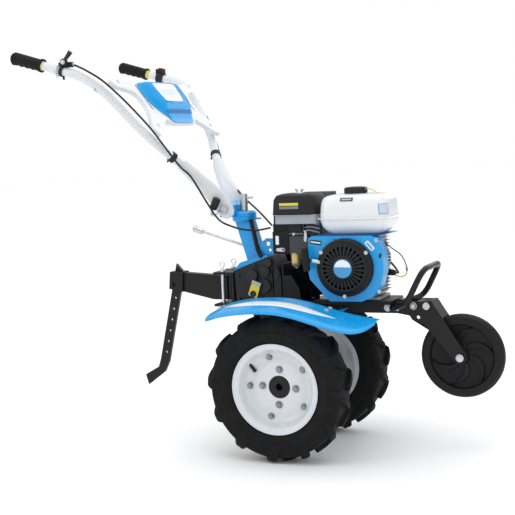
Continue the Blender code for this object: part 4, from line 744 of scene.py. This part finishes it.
def make_grip(side, word):
    """Rubber grip: flange, finger ridges below, a lip and a domed end, with a thin yellow ring."""
    start = at(GRIP_START.x, side * GRIP_START.y, GRIP_START.z)
    below = Vector((-GRIP_AXIS.z, 0.0, GRIP_AXIS.x)).normalized()
    if below.z > 0:
        below = -below
    sideways = GRIP_AXIS.cross(below)
    sides, steps = 40, 72
    loops = []
    for k in range(steps + 1):
        t = k / steps
        along = GRIP_LENGTH * t
        if along < 0.007:
            radius = 0.0215
        elif along < 0.104:
            radius = 0.018 + 0.0012 * (along / 0.104)
        else:
            radius = 0.0196 * sqrt(max(0.03, 1 - ((along - 0.104) / 0.0172) ** 2))
        loop = []
        for i in range(sides):
            angle = 2 * pi * i / sides
            under = max(0.0, cos(angle))
            finger = 0.5 - 0.5 * cos(2 * pi * (along - 0.01) / 0.0225)
            bulge = 0.0021 * under * (1 - finger) if 0.01 < along < 0.1 else 0.0
            lip = 0.0035 * under * max(0.0, 1 - abs(along - 0.108) / 0.009)
            knurl = 0.00022 * (1 if i % 2 else -1) if 0.012 < along < 0.1 else 0.0
            r = radius + bulge + lip + knurl
            loop.append(start + GRIP_AXIS * along + (below * cos(angle) + sideways * sin(angle)) * r)
        loops.append(loop)
    keep("grip_sleeve_" + word, rings(loops), "grip_rubber", "handlebars", ["grip_" + word])
    collar = lathe([(-0.0016, 0.0), (-0.0016, 0.0146), (-0.0001, 0.015), (-0.0001, 0.0)], start,
                   GRIP_AXIS, 32)
    keep("grip_collar_" + word, collar, "label_yellow", "handlebars")


def band(name, points, radius, look, body, width=0.006):
    """A cable strap round a bar."""
    a, b = at(*points[0]), at(*points[1])
    axis = (b - a).normalized()
    ring = lathe([(0.0, radius - 0.001), (0.0, radius), (0.001, radius + 0.001),
                  (width - 0.001, radius + 0.001), (width, radius), (width, radius - 0.001)],
                 a, axis, 28, ring=True)
    up = axis.cross(Vector((0.0, 1.0, 0.0))).normalized()
    buckle = lathe([(0.0, 0.0), (0.0, 0.003), (0.007, 0.003), (0.008, 0.0022), (0.008, 0.0)],
                   a + axis * width / 2 + up * radius, up, 4)
    keep(name, merge(ring, buckle), look, body)


def make_controls():
    """Hub cap and band of the throttle, cable straps, the clamp's knob and two blank stickers."""
    hub = (-0.615, 1.264)
    shapes = [lathe([(0.0, 0.0), (0.0, 0.007), (0.0012, 0.0076), (0.0028, 0.007), (0.0028, 0.0)],
                    at(hub[0], -0.3497, hub[1]), (0, -1, 0), 32),
              bolt((hub[0], -0.3524, hub[1]), (0, -1, 0), 0.0042, washer=False)]
    keep("throttle_hub_cap", merge(*shapes), "zinc_steel", "throttle_lever")
    middle = Vector(BAR_POINTS[-1])
    start = (middle.x, -middle.y, middle.z)
    end = (GRIP_START.x, -GRIP_START.y, GRIP_START.z)
    band("throttle_band", (start, end), 0.0182, "zinc_steel", "handlebars", 0.005)
    for side, word in ((-1, "near"), (1, "far")):
        band("strap_%s_top" % word, ((-0.3475, side * 0.153, 0.949), (-0.373, side * 0.19, 0.985)),
             0.0165, "black_plastic", "handlebars", 0.017)
    knob = lathe([(0.0, 0.0), (0.0, 0.011), (0.0016, 0.0124), (0.036, 0.013), (0.038, 0.0118),
                  (0.038, 0.0)], at(-0.2542, -0.083, 0.7818), (0.0178, -0.001, 0.0335), 32)
    keep("clamp_knob", knob, "black_plastic", "clamp_lever")
    for name, ends, look in (
            ("bar_sticker", [(-0.688, 0.3335, 1.2556), (-0.696, 0.3335, 1.258)], "label_yellow"),
            ("bar_tag", [(-0.523, -0.312, 1.184), (-0.512, -0.3055, 1.1738)], "label_grey")):
        keep(name, tube(ends, STICKER_RADIUS, 28), look, "handlebars")


for hand, hand_word in ((-1, "right"), (1, "left")):
    make_handlebar(hand, hand_word)
    make_grip(hand, hand_word)
make_controls()


# ---------------------------------------------------------------- console
CONSOLE_ORIGIN = Vector((-0.4505, 0.0, 1.103))
CONSOLE_UP = Vector((-0.597, 0.0, 0.802))
CONSOLE_OUT = Vector((0.802, 0.0, 0.597))


def console_at(y, up, out):
    return at(*(CONSOLE_ORIGIN + CONSOLE_UP * up + CONSOLE_OUT * out + Vector((0.0, y, 0.0))))


def rounded_loop(points, share=0.22, steps=3):
    """Cut the corners of a closed outline into small curves."""
    fine = []
    count = len(points)
    for i in range(count):
        p = Vector(points[i])
        a = p + (Vector(points[i - 1]) - p) * share
        b = p + (Vector(points[(i + 1) % count]) - p) * share
        for k in range(steps + 1):
            t = k / steps
            fine.append(a * (1 - t) ** 2 + p * 2 * t * (1 - t) + b * t * t)
    return fine


def console_loop(half, out, share=0.22):
    points = [(y, up) for y, up in half] + [(-y, up) for y, up in reversed(half)]
    return [console_at(p.x, p.y, out) for p in rounded_loop(points, share)]


def make_console():
    """White carrier with four rounded arms, and the blue cover with its framed panel and chin."""
    arms = [(0.135, 0.097), (0.262, 0.112), (0.29, 0.104), (0.276, 0.08), (0.196, 0.064),
            (0.176, 0.045), (0.17, 0.008), (0.182, -0.026), (0.232, -0.088), (0.216, -0.12),
            (0.188, -0.108), (0.104, -0.052), (0.078, -0.072)]
    small = [(y * 0.988, up * 0.985) for y, up in arms]
    loops = [console_loop(small, 0.0152), console_loop(arms, 0.0175), console_loop(arms, 0.0262),
             console_loop(small, 0.0298)]
    carrier = rings(loops)
    well = [(0.13, 0.084), (0.13, 0.01), (0.08, -0.04), (0.064, -0.056)]
    low_well = [(y * 0.93, up * 0.93) for y, up in well]
    belly = rings([console_loop(low_well, -0.0038), console_loop(well, 0.001), console_loop(well, 0.016)])
    keep("console_frame", merge(carrier, belly), "white_plastic", "handlebars", ["console_carrier"])
    rim_line = [(0.114, 0.098), (0.141, 0.09), (0.141, 0.014), (0.102, -0.032), (0.082, -0.044),
                (0.07, -0.07)]
    step_line = [(0.11, 0.094), (0.132, 0.086), (0.132, 0.014), (0.096, -0.026), (0.088, -0.034),
                 (0.08, -0.0355)]
    high_line = [(0.104, 0.092), (0.122, 0.083), (0.122, 0.017), (0.09, -0.016), (0.084, -0.021),
                 (0.078, -0.0225)]
    crown_line = [(0.078, 0.087), (0.088, 0.08), (0.08, 0.014), (0.07, 0.003), (0.066, 0.001),
                  (0.062, 0.0)]
    top_line = [(y * 0.96, u * 0.96) for y, u in crown_line]
    levels = ((rim_line, 0.0303), (rim_line, 0.0335), (step_line, 0.0365), (high_line, 0.045),
              (crown_line, 0.05), (top_line, 0.051))
    loops = [console_loop(line, out, 0.3) for line, out in levels]
    keep("console_hood", rings(loops), "blue_plastic", "handlebars", ["console_cover"])
    panel = [(0.068, 0.081), (0.075, 0.075), (0.062, 0.014), (0.055, 0.007)]
    inner = [(0.05, 0.058), (0.052, 0.056), (0.047, 0.032), (0.045, 0.03)]
    for name, line, faces, look in (("console_panel", panel, (0.0508, 0.0514), "label_white"),
                                    ("console_panel_field", inner, (0.0513, 0.0516), "label_pale")):
        keep(name, rings([console_loop(line, out, 0.3) for out in faces]), look, "handlebars")
    for name, look, corners in (
            ("console_chin", "blue_dark", [(-0.08, -0.0235, 0.0452), (0.08, -0.0235, 0.0452),
                                           (0.084, -0.035, 0.0374), (-0.084, -0.035, 0.0374)]),
            ("console_window", "label_pale", [(-0.05, -0.048, 0.0353), (0.05, -0.048, 0.0353),
                                              (0.047, -0.06, 0.0343), (-0.047, -0.06, 0.0343)])):
        front = [console_at(*corner) for corner in corners]
        back = [console_at(y, up + 0.0006, out - 0.0014) for y, up, out in corners]
        keep(name, rings([back, front]), look, "handlebars", bevel=0.0004)
    for name, y, up in (("console_screw_a", 0.243, 0.098), ("console_screw_b", -0.243, 0.098),
                        ("console_screw_c", 0.186, -0.078), ("console_screw_d", -0.186, -0.078)):
        p = console_at(y, up, 0.0298)
        head = lathe([(0.0, 0.0), (0.0, 0.0062), (0.0016, 0.0058), (0.0026, 0.004), (0.0026, 0.0)], p,
                     CONSOLE_OUT, 28)
        keep(name, head, "zinc_steel", "handlebars")
    for side in (-1, 1):
        slot_line = [console_at(side * y, up, 0.0292)
                     for y, up in ((0.1455, 0.088), (0.1455, -0.014), (0.149, -0.014), (0.149, 0.088))]
        top = [p + CONSOLE_OUT * 0.0012 for p in slot_line]
        keep("console_slot_" + ("right" if side < 0 else "left"), rings([slot_line, top]), "black_plastic",
             "handlebars")


make_console()


# ---------------------------------------------------------------- engine
STARTER = (0.2085, 0.597)


def radial(centre, y, radius, angle):
    return at(centre[0] + radius * cos(angle), y, centre[1] + radius * sin(angle))


def make_starter():
    """Recoil starter cover: outer ring, radial louvres over the reel, hub plate and rope guide."""
    ring = [(-0.1305, 0.0835), (-0.1305, 0.0896), (-0.134, 0.0896), (-0.14, 0.089), (-0.147, 0.0872),
            (-0.15, 0.0835), (-0.1505, 0.078), (-0.153, 0.074), (-0.1545, 0.069), (-0.1535, 0.0665),
            (-0.15, 0.0665), (-0.1465, 0.074), (-0.144, 0.083)]
    centre = at(STARTER[0], 0.0, STARTER[1])
    shapes = [lathe(ring, centre, sides=96, ring=True)]
    hub = [(-0.1515, 0.0), (-0.1515, 0.0385), (-0.156, 0.0385), (-0.158, 0.037), (-0.159, 0.034),
           (-0.1598, 0.033), (-0.1598, 0.0)]
    shapes.append(lathe(hub, centre, sides=72))
    slots = 28
    for i in range(slots):
        angle = 2 * pi * (i + 0.5) / slots
        loops = []
        for radius in (0.037, 0.05, 0.068):
            half = (0.0021 + 0.0009 * (radius - 0.037) / 0.031) / radius
            face = -0.1575 + 0.003 * (radius - 0.037) / 0.031
            loops.append([radial(STARTER, face + 0.0045, radius, angle - half * 0.9),
                          radial(STARTER, face, radius, angle - half * 0.4),
                          radial(STARTER, face + 0.0006, radius, angle + half),
                          radial(STARTER, face + 0.005, radius, angle + half * 0.6)])
        shapes.append(rings(loops))
    keep("starter_grille", merge(*shapes), "black_plastic", "chassis", ["starter_cover"])
    guide = tube([(0.132, -0.144, 0.6145), (0.118, -0.1465, 0.617), (0.108, -0.148, 0.619)],
                 [0.0075, 0.007, 0.0068], 24)
    keep("starter_rope_guide", guide, "zinc_steel", "chassis")
    badge = lathe([(-0.1597, 0.0), (-0.1597, 0.029), (-0.1602, 0.0284), (-0.1602, 0.0)], centre, sides=64)
    keep("starter_badge", badge, "label_blue", "chassis")
    upper = [radial(STARTER, -0.1603, 0.0262, radians(a)) for a in range(8, 173, 6)]
    lower = [p - Vector((0.0, 0.0004, 0.0)) for p in upper]
    keep("starter_badge_field", rings([upper, lower]), "label_white", "chassis")
    bolts("starter_bolts", [(STARTER[0] + 0.0862 * cos(radians(angle)), -0.1492,
                             STARTER[1] + 0.0862 * sin(radians(angle))) for angle in (146, 33, 270)],
          (0, -1, 0), 0.004, "zinc_steel", "chassis", 0.0003)
    handle = tube([(0.092, -0.156, 0.589), (0.0916, -0.1567, 0.595), (0.091, -0.1575, 0.608),
                   (0.09, -0.158, 0.623), (0.0888, -0.158, 0.64), (0.0876, -0.1578, 0.654),
                   (0.087, -0.1575, 0.66)],
                  [0.0092, 0.0108, 0.0112, 0.011, 0.0112, 0.0108, 0.0092], 24)
    nose = tube([(0.09, -0.155, 0.6215), (0.096, -0.1528, 0.6207), (0.1035, -0.15, 0.6195)],
                [0.009, 0.0072, 0.0062], 20)
    keep("starter_grip", merge(handle, nose), "black_plastic", "starter_handle", ["starter_handle"])


def make_shroud_trim():
    """Bolts, blank plates and the slot of the blue fan housing."""
    bolts("shroud_bolts", [(0.308, -0.1302, 0.679), (0.312, -0.1302, 0.524)], (0, -1, 0), 0.0042,
          "zinc_steel", "chassis", 0.0003)
    for name, x, z, half_long, half_tall, tilt, proud, look in (
            ("shroud_plate_left", 0.114, 0.6745, 0.019, 0.0068, -8, 0.0004, "black_plastic"),
            ("shroud_plate_left_field", 0.114, 0.6745, 0.016, 0.0022, -8, 0.0007, "label_white"),
            ("shroud_plate_right", 0.287, 0.663, 0.0165, 0.0072, -48, 0.0004, "label_white"),
            ("shroud_plate_right_field", 0.287, 0.663, 0.012, 0.0026, -48, 0.0007, "label_blue"),
            ("shroud_slot", 0.319, 0.633, 0.007, 0.0035, 78, 0.0004, "black_plastic")):
        side_plate(name, (x, z), (half_long, half_tall), half_tall * 0.4, tilt, (-0.1301, -0.1301 - proud),
                   look)


def make_tank():
    """Two pressed halves with a seam flange, the filler, a scalloped cap, blank plates and bracket."""
    low, high = (0.112, -0.13), (0.346, 0.046)
    levels = [(0.695, 0.042), (0.6965, 0.035), (0.702, 0.028), (0.71, 0.02), (0.719, 0.013),
              (0.729, 0.0095), (0.739, 0.0072), (0.743, 0.007), (0.7434, 0.0006), (0.7446, -0.0006),
              (0.7458, -0.0006), (0.747, 0.0006), (0.7474, 0.007), (0.752, 0.0072), (0.765, 0.0078),
              (0.78, 0.009), (0.792, 0.0106), (0.801, 0.0134), (0.808, 0.0182), (0.813, 0.0265),
              (0.8165, 0.041), (0.8178, 0.058)]
    loops = []
    for z, back in levels:
        corner = max(0.04 - back * 0.5, 0.016)
        outline = rounded((low[0] + back, low[1] + back), (high[0] - back, high[1] - back), corner, 9)
        loops.append([at(x, y, z) for x, y in outline])
    keep("tank_shell", rings(loops), "white_tank", "chassis", ["fuel_tank"])
    neck = at(0.216, -0.03, 0.818)
    collar = lathe([(-0.006, 0.0285), (-0.001, 0.0285), (0.0005, 0.027), (0.0005, 0.0195),
                    (-0.006, 0.0195)], neck, (0, 0, 1), 48, ring=True)
    keep("tank_filler", collar, "zinc_steel", "chassis")
    loops = []
    sides = 96
    for z, radius, scallop in ((0.0005, 0.033, 0.0), (0.001, 0.0362, 0.0012), (0.014, 0.0362, 0.0016),
                               (0.0168, 0.0345, 0.0012), (0.019, 0.03, 0.0), (0.019, 0.024, 0.0),
                               (0.0198, 0.022, 0.0), (0.02, 0.006, 0.0)):
        loops.append([neck + Vector((cos(2 * pi * i / sides), sin(2 * pi * i / sides), 0.0))
                      * (radius - scallop * max(0.0, cos(12 * 2 * pi * i / sides))) + Vector((0, 0, z))
                      for i in range(sides)])
    keep("tank_cap", rings(loops), "black_plastic", "fuel_cap", ["fuel_cap"])
    for name, x0, x1, z0, z1, proud, look in (
            ("tank_badge", 0.194, 0.234, 0.7985, 0.8085, 0.0012, "black_plastic"),
            ("tank_badge_field", 0.198, 0.23, 0.801, 0.806, 0.0018, "label_grey")):
        lean = (0.0182 - 0.0134) / 0.007
        rows = [(z, low[1] + 0.0134 + (z - 0.801) * lean) for z in (z0, z1)]
        loops = [[at(x, y - out, z) for z, y in rows for x in ((x0, x1) if z == z0 else (x1, x0))]
                 for out in (-0.001, proud)]
        keep(name, rings(loops), look, "chassis", bevel=0.0003)
    for name, angles, rows, proud, look in (
            ("tank_label", (292, 352), (0.756, 0.788), 0.0005, "label_blue"),
            ("tank_label_field", (295, 349), (0.7575, 0.7865), 0.001, "label_pale")):
        shape = bmesh.new()
        grid = []
        for k in range(5):
            z = rows[0] + (rows[1] - rows[0]) * k / 4
            back = 0.0072 + max(0.0, z - 0.752) * 0.062
            corner = 0.04 - back * 0.5
            middle = (high[0] - back - corner, low[1] + back + corner)
            grid.append([shape.verts.new(at(x, y, z))
                         for x, y in arc(middle, corner + proud, angles[0], angles[1], 10)])
        for lower, upper in zip(grid, grid[1:]):
            for i in range(10):
                shape.faces.new((lower[i], lower[i + 1], upper[i + 1], upper[i]))
        sheet = keep(name, shape, look, "chassis")
        sheet.modifiers.new("thickness", "SOLIDIFY").thickness = 0.0004
    plate = box((0.106, -0.115, 0.6935), (0.33, 0.03, 0.6948))
    keep("tank_bracket", plate, "blue_dark", "chassis", bevel=0.0005)
    tether = tube([(0.248, -0.04, 0.829), (0.262, -0.044, 0.8315), (0.275, -0.045, 0.827),
                   (0.288, -0.043, 0.819)], 0.0014, 10)
    keep("cap_tether", tether, "yellow_wire", "chassis")


def make_head():
    """Finned cylinder head with its bolts, the spark plug, its boot and lead, and the earth wire."""
    shapes = []
    for i in range(17):
        z = 0.513 + 0.0102 * i
        loops = []
        for x0, lean in ((0.2695, 0.0), (0.296, 0.0), (0.3, 0.001)):
            loops.append([at(x0, -0.0757, z + lean), at(x0, 0.0437, z + lean),
                          at(x0, 0.0437, z + 0.0026 - lean), at(x0, -0.0757, z + 0.0026 - lean)])
        shapes.append(rings(loops))
    core = box((0.269, -0.064, 0.512), (0.29, 0.034, 0.685))
    shapes.append(core)
    for y, z in ((-0.055, 0.545), (0.024, 0.545), (-0.055, 0.655), (0.024, 0.655)):
        shapes.append(bolt((0.2902, y, z), (1, 0, 0), 0.0062))
    keep("head_fins", merge(*shapes), "cast_aluminium", "chassis", ["cylinder_head"], bevel=0.0003)
    cone = tube([(0.286, -0.03, 0.5751), (0.296, -0.03, 0.574), (0.306, -0.03, 0.5727)],
                [0.0085, 0.0078, 0.0062], 24)
    keep("plug_ceramic", cone, "label_white", "chassis")
    boot = tube([(0.304, -0.03, 0.573), (0.309, -0.03, 0.5724), (0.324, -0.03, 0.5706),
                 (0.335, -0.03, 0.5692)], [0.007, 0.0098, 0.01, 0.0074], 24)
    keep("plug_boot", boot, "black_plastic", "chassis")
    lead = tube([(0.334, -0.03, 0.5694), (0.338, -0.012, 0.568), (0.326, 0.02, 0.569),
                 (0.308, 0.048, 0.58), (0.286, 0.062, 0.598)], 0.0032, 14)
    keep("plug_lead", lead, "black_plastic", "chassis")
    wire = tube([(0.298, -0.03, 0.6679), (0.313, -0.031, 0.656), (0.33, -0.0315, 0.643),
                 (0.35, -0.031, 0.629), (0.362, -0.031, 0.613), (0.369, -0.0305, 0.594),
                 (0.371, -0.03, 0.585)], 0.0016, 10)
    keep("ground_wire", wire, "black_plastic", "chassis")
    joint = tube([(0.3705, -0.03, 0.587), (0.3714, -0.03, 0.575)], 0.003, 14)
    keep("ground_wire_joint", joint, "green_plastic", "chassis")
    tail = tube([(0.3714, -0.03, 0.576), (0.369, -0.03, 0.566), (0.36, -0.03, 0.559),
                 (0.35, -0.03, 0.5572), (0.33, -0.03, 0.564), (0.299, -0.03, 0.576)], 0.0017, 10)
    keep("ground_wire_tail", tail, "yellow_wire", "chassis")


def make_air_cleaner_trim():
    """Blank labels, plate, elbow and washer of the air cleaner, and the fuel parts below it."""
    for name, z, half_tall, look in (("air_cleaner_label", 0.792, 0.004, "label_yellow"),
                                     ("air_cleaner_line_a", 0.7845, 0.0007, "label_grey"),
                                     ("air_cleaner_line_b", 0.7815, 0.0007, "label_grey"),
                                     ("air_cleaner_line_c", 0.7785, 0.0007, "label_grey")):
        side_plate(name, (0.02, z), (0.032, half_tall), 0.0006, 0, (-0.1059, -0.1064), look, 2)
    elbow = box((-0.047, -0.077, 0.7), (0.048, -0.008, 0.7565))
    keep("air_cleaner_elbow", elbow, "black_plastic", "chassis", bevel=0.004)
    manifold = box((0.05, -0.06, 0.67), (0.108, 0.02, 0.744))
    keep("intake_manifold", manifold, "dark_cast", "chassis", bevel=0.004)
    for k in range(3):
        rod = tube([(0.048 + 0.004 * k, -0.07 + 0.004 * k, 0.705 + 0.01 * k),
                    (0.076, -0.076 + 0.004 * k, 0.708 + 0.011 * k),
                    (0.106, -0.072, 0.7 + 0.013 * k)], 0.0016, 10)
        keep("governor_rod_%d" % k, rod, "zinc_steel", "chassis")
    plate = box((-0.035, -0.101, 0.7565), (0.107, 0.027, 0.7585))
    keep("air_cleaner_plate", plate, "zinc_steel", "chassis", bevel=0.0004)
    washer = lathe([(0.8228, 0.0045), (0.8228, 0.015), (0.8236, 0.015), (0.824, 0.014),
                    (0.824, 0.0045)], at(0.03, -0.036, 0.0), (0, 0, 1), 40, ring=True)
    keep("air_cleaner_washer", washer, "zinc_steel", "chassis")
    bowl = lathe([(0.5905, 0.0), (0.5905, 0.006), (0.5925, 0.012), (0.6, 0.0162), (0.62, 0.017),
                  (0.633, 0.0174), (0.634, 0.019), (0.6365, 0.019), (0.6365, 0.0)],
                 at(0.02, -0.06, 0.0), (0, 0, 1), 40)
    keep("carburettor_bowl", bowl, "brass", "chassis")
    drain = bolt((0.02, -0.06, 0.5907), (0, 0, -1), 0.0046, washer=False)
    keep("bowl_drain", drain, "zinc_steel", "chassis", bevel=0.0003)
    side_plate("control_label", (-0.0345, 0.678), (0.0055, 0.014), 0.0015, 0, (-0.0801, -0.0806),
               "label_white", 2)
    hose = tube([(0.088, -0.065, 0.694), (0.086, -0.076, 0.67), (0.078, -0.078, 0.648),
                 (0.064, -0.074, 0.642)], 0.0042, 14)
    keep("fuel_hose", hose, "black_plastic", "chassis")
    spring = []
    turns = 7
    for i in range(turns * 12 + 1):
        t = i / (turns * 12)
        spring.append((0.01 + 0.045 * t, -0.087 + 0.0028 * cos(2 * pi * turns * t),
                       0.699 + 0.0028 * sin(2 * pi * turns * t)))
    keep("governor_spring", tube(spring, 0.0006, 6, 1), "zinc_steel", "chassis")


make_starter()
make_shroud_trim()
make_tank()
make_head()
make_air_cleaner_trim()


# ---------------------------------------------------------------- gear case, hitch and coulter trim
def make_case_trim():
    """Cover bolts, the blank two-colour tag with its plug, and the column's ribbed conduit."""
    places = ((-0.19, 0.485), (-0.19, 0.56), (-0.13, 0.595), (-0.082, 0.608), (-0.052, 0.56),
              (-0.05, 0.47), (-0.03, 0.4), (-0.055, 0.33), (-0.04, 0.262), (0.04, 0.262))
    bolts("case_bolts", [(x, -0.0525, z) for x, z in places], (0, -1, 0), 0.0058, "dark_bolt", "chassis")
    centre = Vector((-0.125, 0.0, 0.52))
    angle = radians(-20)
    for name, z0, z1, look in (("case_tag", -0.026, 0.013, "label_yellow"),
                               ("case_tag_top", 0.013, 0.026, "label_grey")):
        loops = []
        for y in (-0.0712, -0.0718):
            loops.append([at(centre.x + x * cos(angle) - z * sin(angle), y,
                             centre.z + x * sin(angle) + z * cos(angle))
                          for x, z in rounded((-0.016, z0), (0.016, z1), 0.0055 if z0 < 0 else 0.001)])
        keep(name, rings(loops), look, "chassis")
    stem = lathe([(0.0, 0.0), (0.0, 0.0105), (0.0185, 0.01), (0.0185, 0.0)],
                 at(centre.x, -0.0525, centre.z), (0, -1, 0), 32)
    keep("case_tag_stem", stem, "black_cast_iron", "chassis")
    plug = lathe([(-0.001, 0.0), (-0.001, 0.0105), (0.003, 0.0102), (0.004, 0.009),
                  (0.0034, 0.006), (0.0034, 0.0)],
                 at(centre.x - 0.0055, -0.0716, centre.z - 0.015), (0, -1, 0), 32)
    keep("case_tag_plug", plug, "dark_bolt", "chassis")
    route = smooth_path([(-0.145, -0.03, 0.742), (-0.139, -0.034, 0.72), (-0.131, -0.036, 0.686),
                         (-0.121, -0.04, 0.644), (-0.106, -0.05, 0.623)], 8)
    conduit = tube(route, [0.0078 if k % 2 else 0.0064 for k in range(len(route))], 14, 1)
    keep("column_conduit", conduit, "black_plastic", "chassis")


def make_clip(name, place, body):
    """A spring R-clip through a pin's head: a loop and two legs."""
    x, y, z = place
    ring = [(x + 0.008 * cos(radians(a)), y, z + 0.008 * sin(radians(a))) for a in range(-60, 241, 30)]
    feet = [(x - 0.003, y, z - 0.02), (x + 0.003, y, z - 0.016)]
    keep(name, tube([feet[1]] + ring + [feet[0]], 0.0013, 8, 2), "zinc_steel", body)


make_case_trim()
make_clip("hitch_clip_right", (-0.249, -0.045, 0.598), "hitch_pin_right")
make_clip("hitch_clip_left", (-0.249, 0.045, 0.598), "hitch_pin_left")


# ---------------------------------------------------------------- fender decals
def make_fender_decal(side, word):
    """A long pale stripe with pointed ends along the fender's outer slope."""
    stations = [(-0.15, 0.4915), (-0.107, 0.5), (-0.04, 0.5065), (0.03, 0.506), (0.095, 0.496),
                (0.16, 0.478), (0.215, 0.464)]
    fine = smooth_path([Vector((x, crown, 0.0)) for x, crown in stations], 6)
    inner, width = 0.15, 0.162
    count = len(fine)
    shape = bmesh.new()
    rows = []
    for k, place in enumerate(fine):
        t = k / (count - 1)
        half = 0.13 * min(1.0, 4 * t + 0.04, 3 * (1 - t) + 0.04)
        row = []
        for step in (-1.0, -0.5, 0.0, 0.5, 1.0):
            share = 0.64 + half * step
            drop = -0.008 * max(0.0, (share - 0.42) / 0.32) ** 1.35
            row.append(shape.verts.new(at(place.x, side * (inner + share * width),
                                          place.y + drop + 0.0008)))
        rows.append(row)
    for a, b in zip(rows, rows[1:]):
        for i in range(4):
            shape.faces.new((a[i], b[i], b[i + 1], a[i + 1]))
    piece = keep("fender_decal_" + word, shape, "label_white", "chassis")
    thick = piece.modifiers.new("thickness", "SOLIDIFY")
    thick.thickness = 0.0003


# ---------------------------------------------------------------- cables
CABLE_RADIUS = 0.003


def bridge(name, points):
    """A length of cable that spans one joint, put on no body, with its placement baked into the mesh."""
    piece = keep(name, tube(points, CABLE_RADIUS, 12, 8), "black_plastic", None)
    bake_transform(piece)


def make_cables():
    """Control cables: sleeved lengths on the bars, bends across the head, and ends at the engine."""
    throttle_upper = [(-0.592, -0.33, 1.256), (-0.568, -0.336, 1.247), (-0.54, -0.336, 1.233),
                      (-0.495, -0.322, 1.201), (-0.444, -0.3, 1.147), (-0.398, -0.275, 1.088),
                      (-0.372, -0.245, 1.042), (-0.349, -0.21, 0.988), (-0.324, -0.162, 0.924),
                      (-0.303, -0.13, 0.889), (-0.271, -0.108, 0.819), (-0.249, -0.103, 0.78)]
    throttle_lower = [(-0.212, -0.103, 0.739), (-0.197, -0.102, 0.732), (-0.155, -0.095, 0.717),
                      (-0.103, -0.088, 0.711), (-0.056, -0.078, 0.718)]
    clutch_upper = [(-0.447, 0.296, 1.088), (-0.402, 0.256, 1.02), (-0.361, 0.208, 0.962),
                    (-0.329, 0.164, 0.91), (-0.298, 0.131, 0.868)]
    clutch_lower = [(-0.16, 0.005, 0.792), (-0.109, -0.035, 0.764), (-0.056, -0.068, 0.725)]
    for name, points, body in (("throttle_cable_upper", throttle_upper, "handlebars"),
                               ("throttle_cable_lower", throttle_lower, "chassis"),
                               ("clutch_cable_upper", clutch_upper, "handlebars"),
                               ("clutch_cable_lower", clutch_lower, "chassis")):
        keep(name.replace("cable", "sleeve"), tube(points, CABLE_RADIUS, 14), "black_plastic", body, [name])
    bridge("throttle_bend_bars", [(-0.249, -0.103, 0.78), (-0.242, -0.103, 0.769),
                                  (-0.234, -0.1035, 0.759)])
    bridge("throttle_bend_head", [(-0.234, -0.1035, 0.759), (-0.224, -0.1035, 0.748),
                                  (-0.212, -0.103, 0.739)])
    bridge("clutch_bend_bars", [(-0.298, 0.131, 0.868), (-0.284, 0.113, 0.862),
                                (-0.269, 0.095, 0.858)])
    bridge("clutch_bend_head", [(-0.269, 0.095, 0.858), (-0.222, 0.055, 0.83),
                                (-0.19, 0.026, 0.809), (-0.16, 0.005, 0.792)])
    ferrule = tube([(-0.449, 0.2975, 1.091), (-0.437, 0.288, 1.074)], 0.0052, 18)
    keep("clutch_ferrule", ferrule, "label_blue", "handlebars")
    adjuster = tube([(-0.598, -0.3285, 1.2575), (-0.582, -0.333, 1.252)], 0.0048, 18)
    keep("throttle_adjuster", adjuster, "zinc_steel", "handlebars")


for hand, hand_word in ((-1, "right"), (1, "left")):
    make_fender_decal(hand, hand_word)
make_cables()
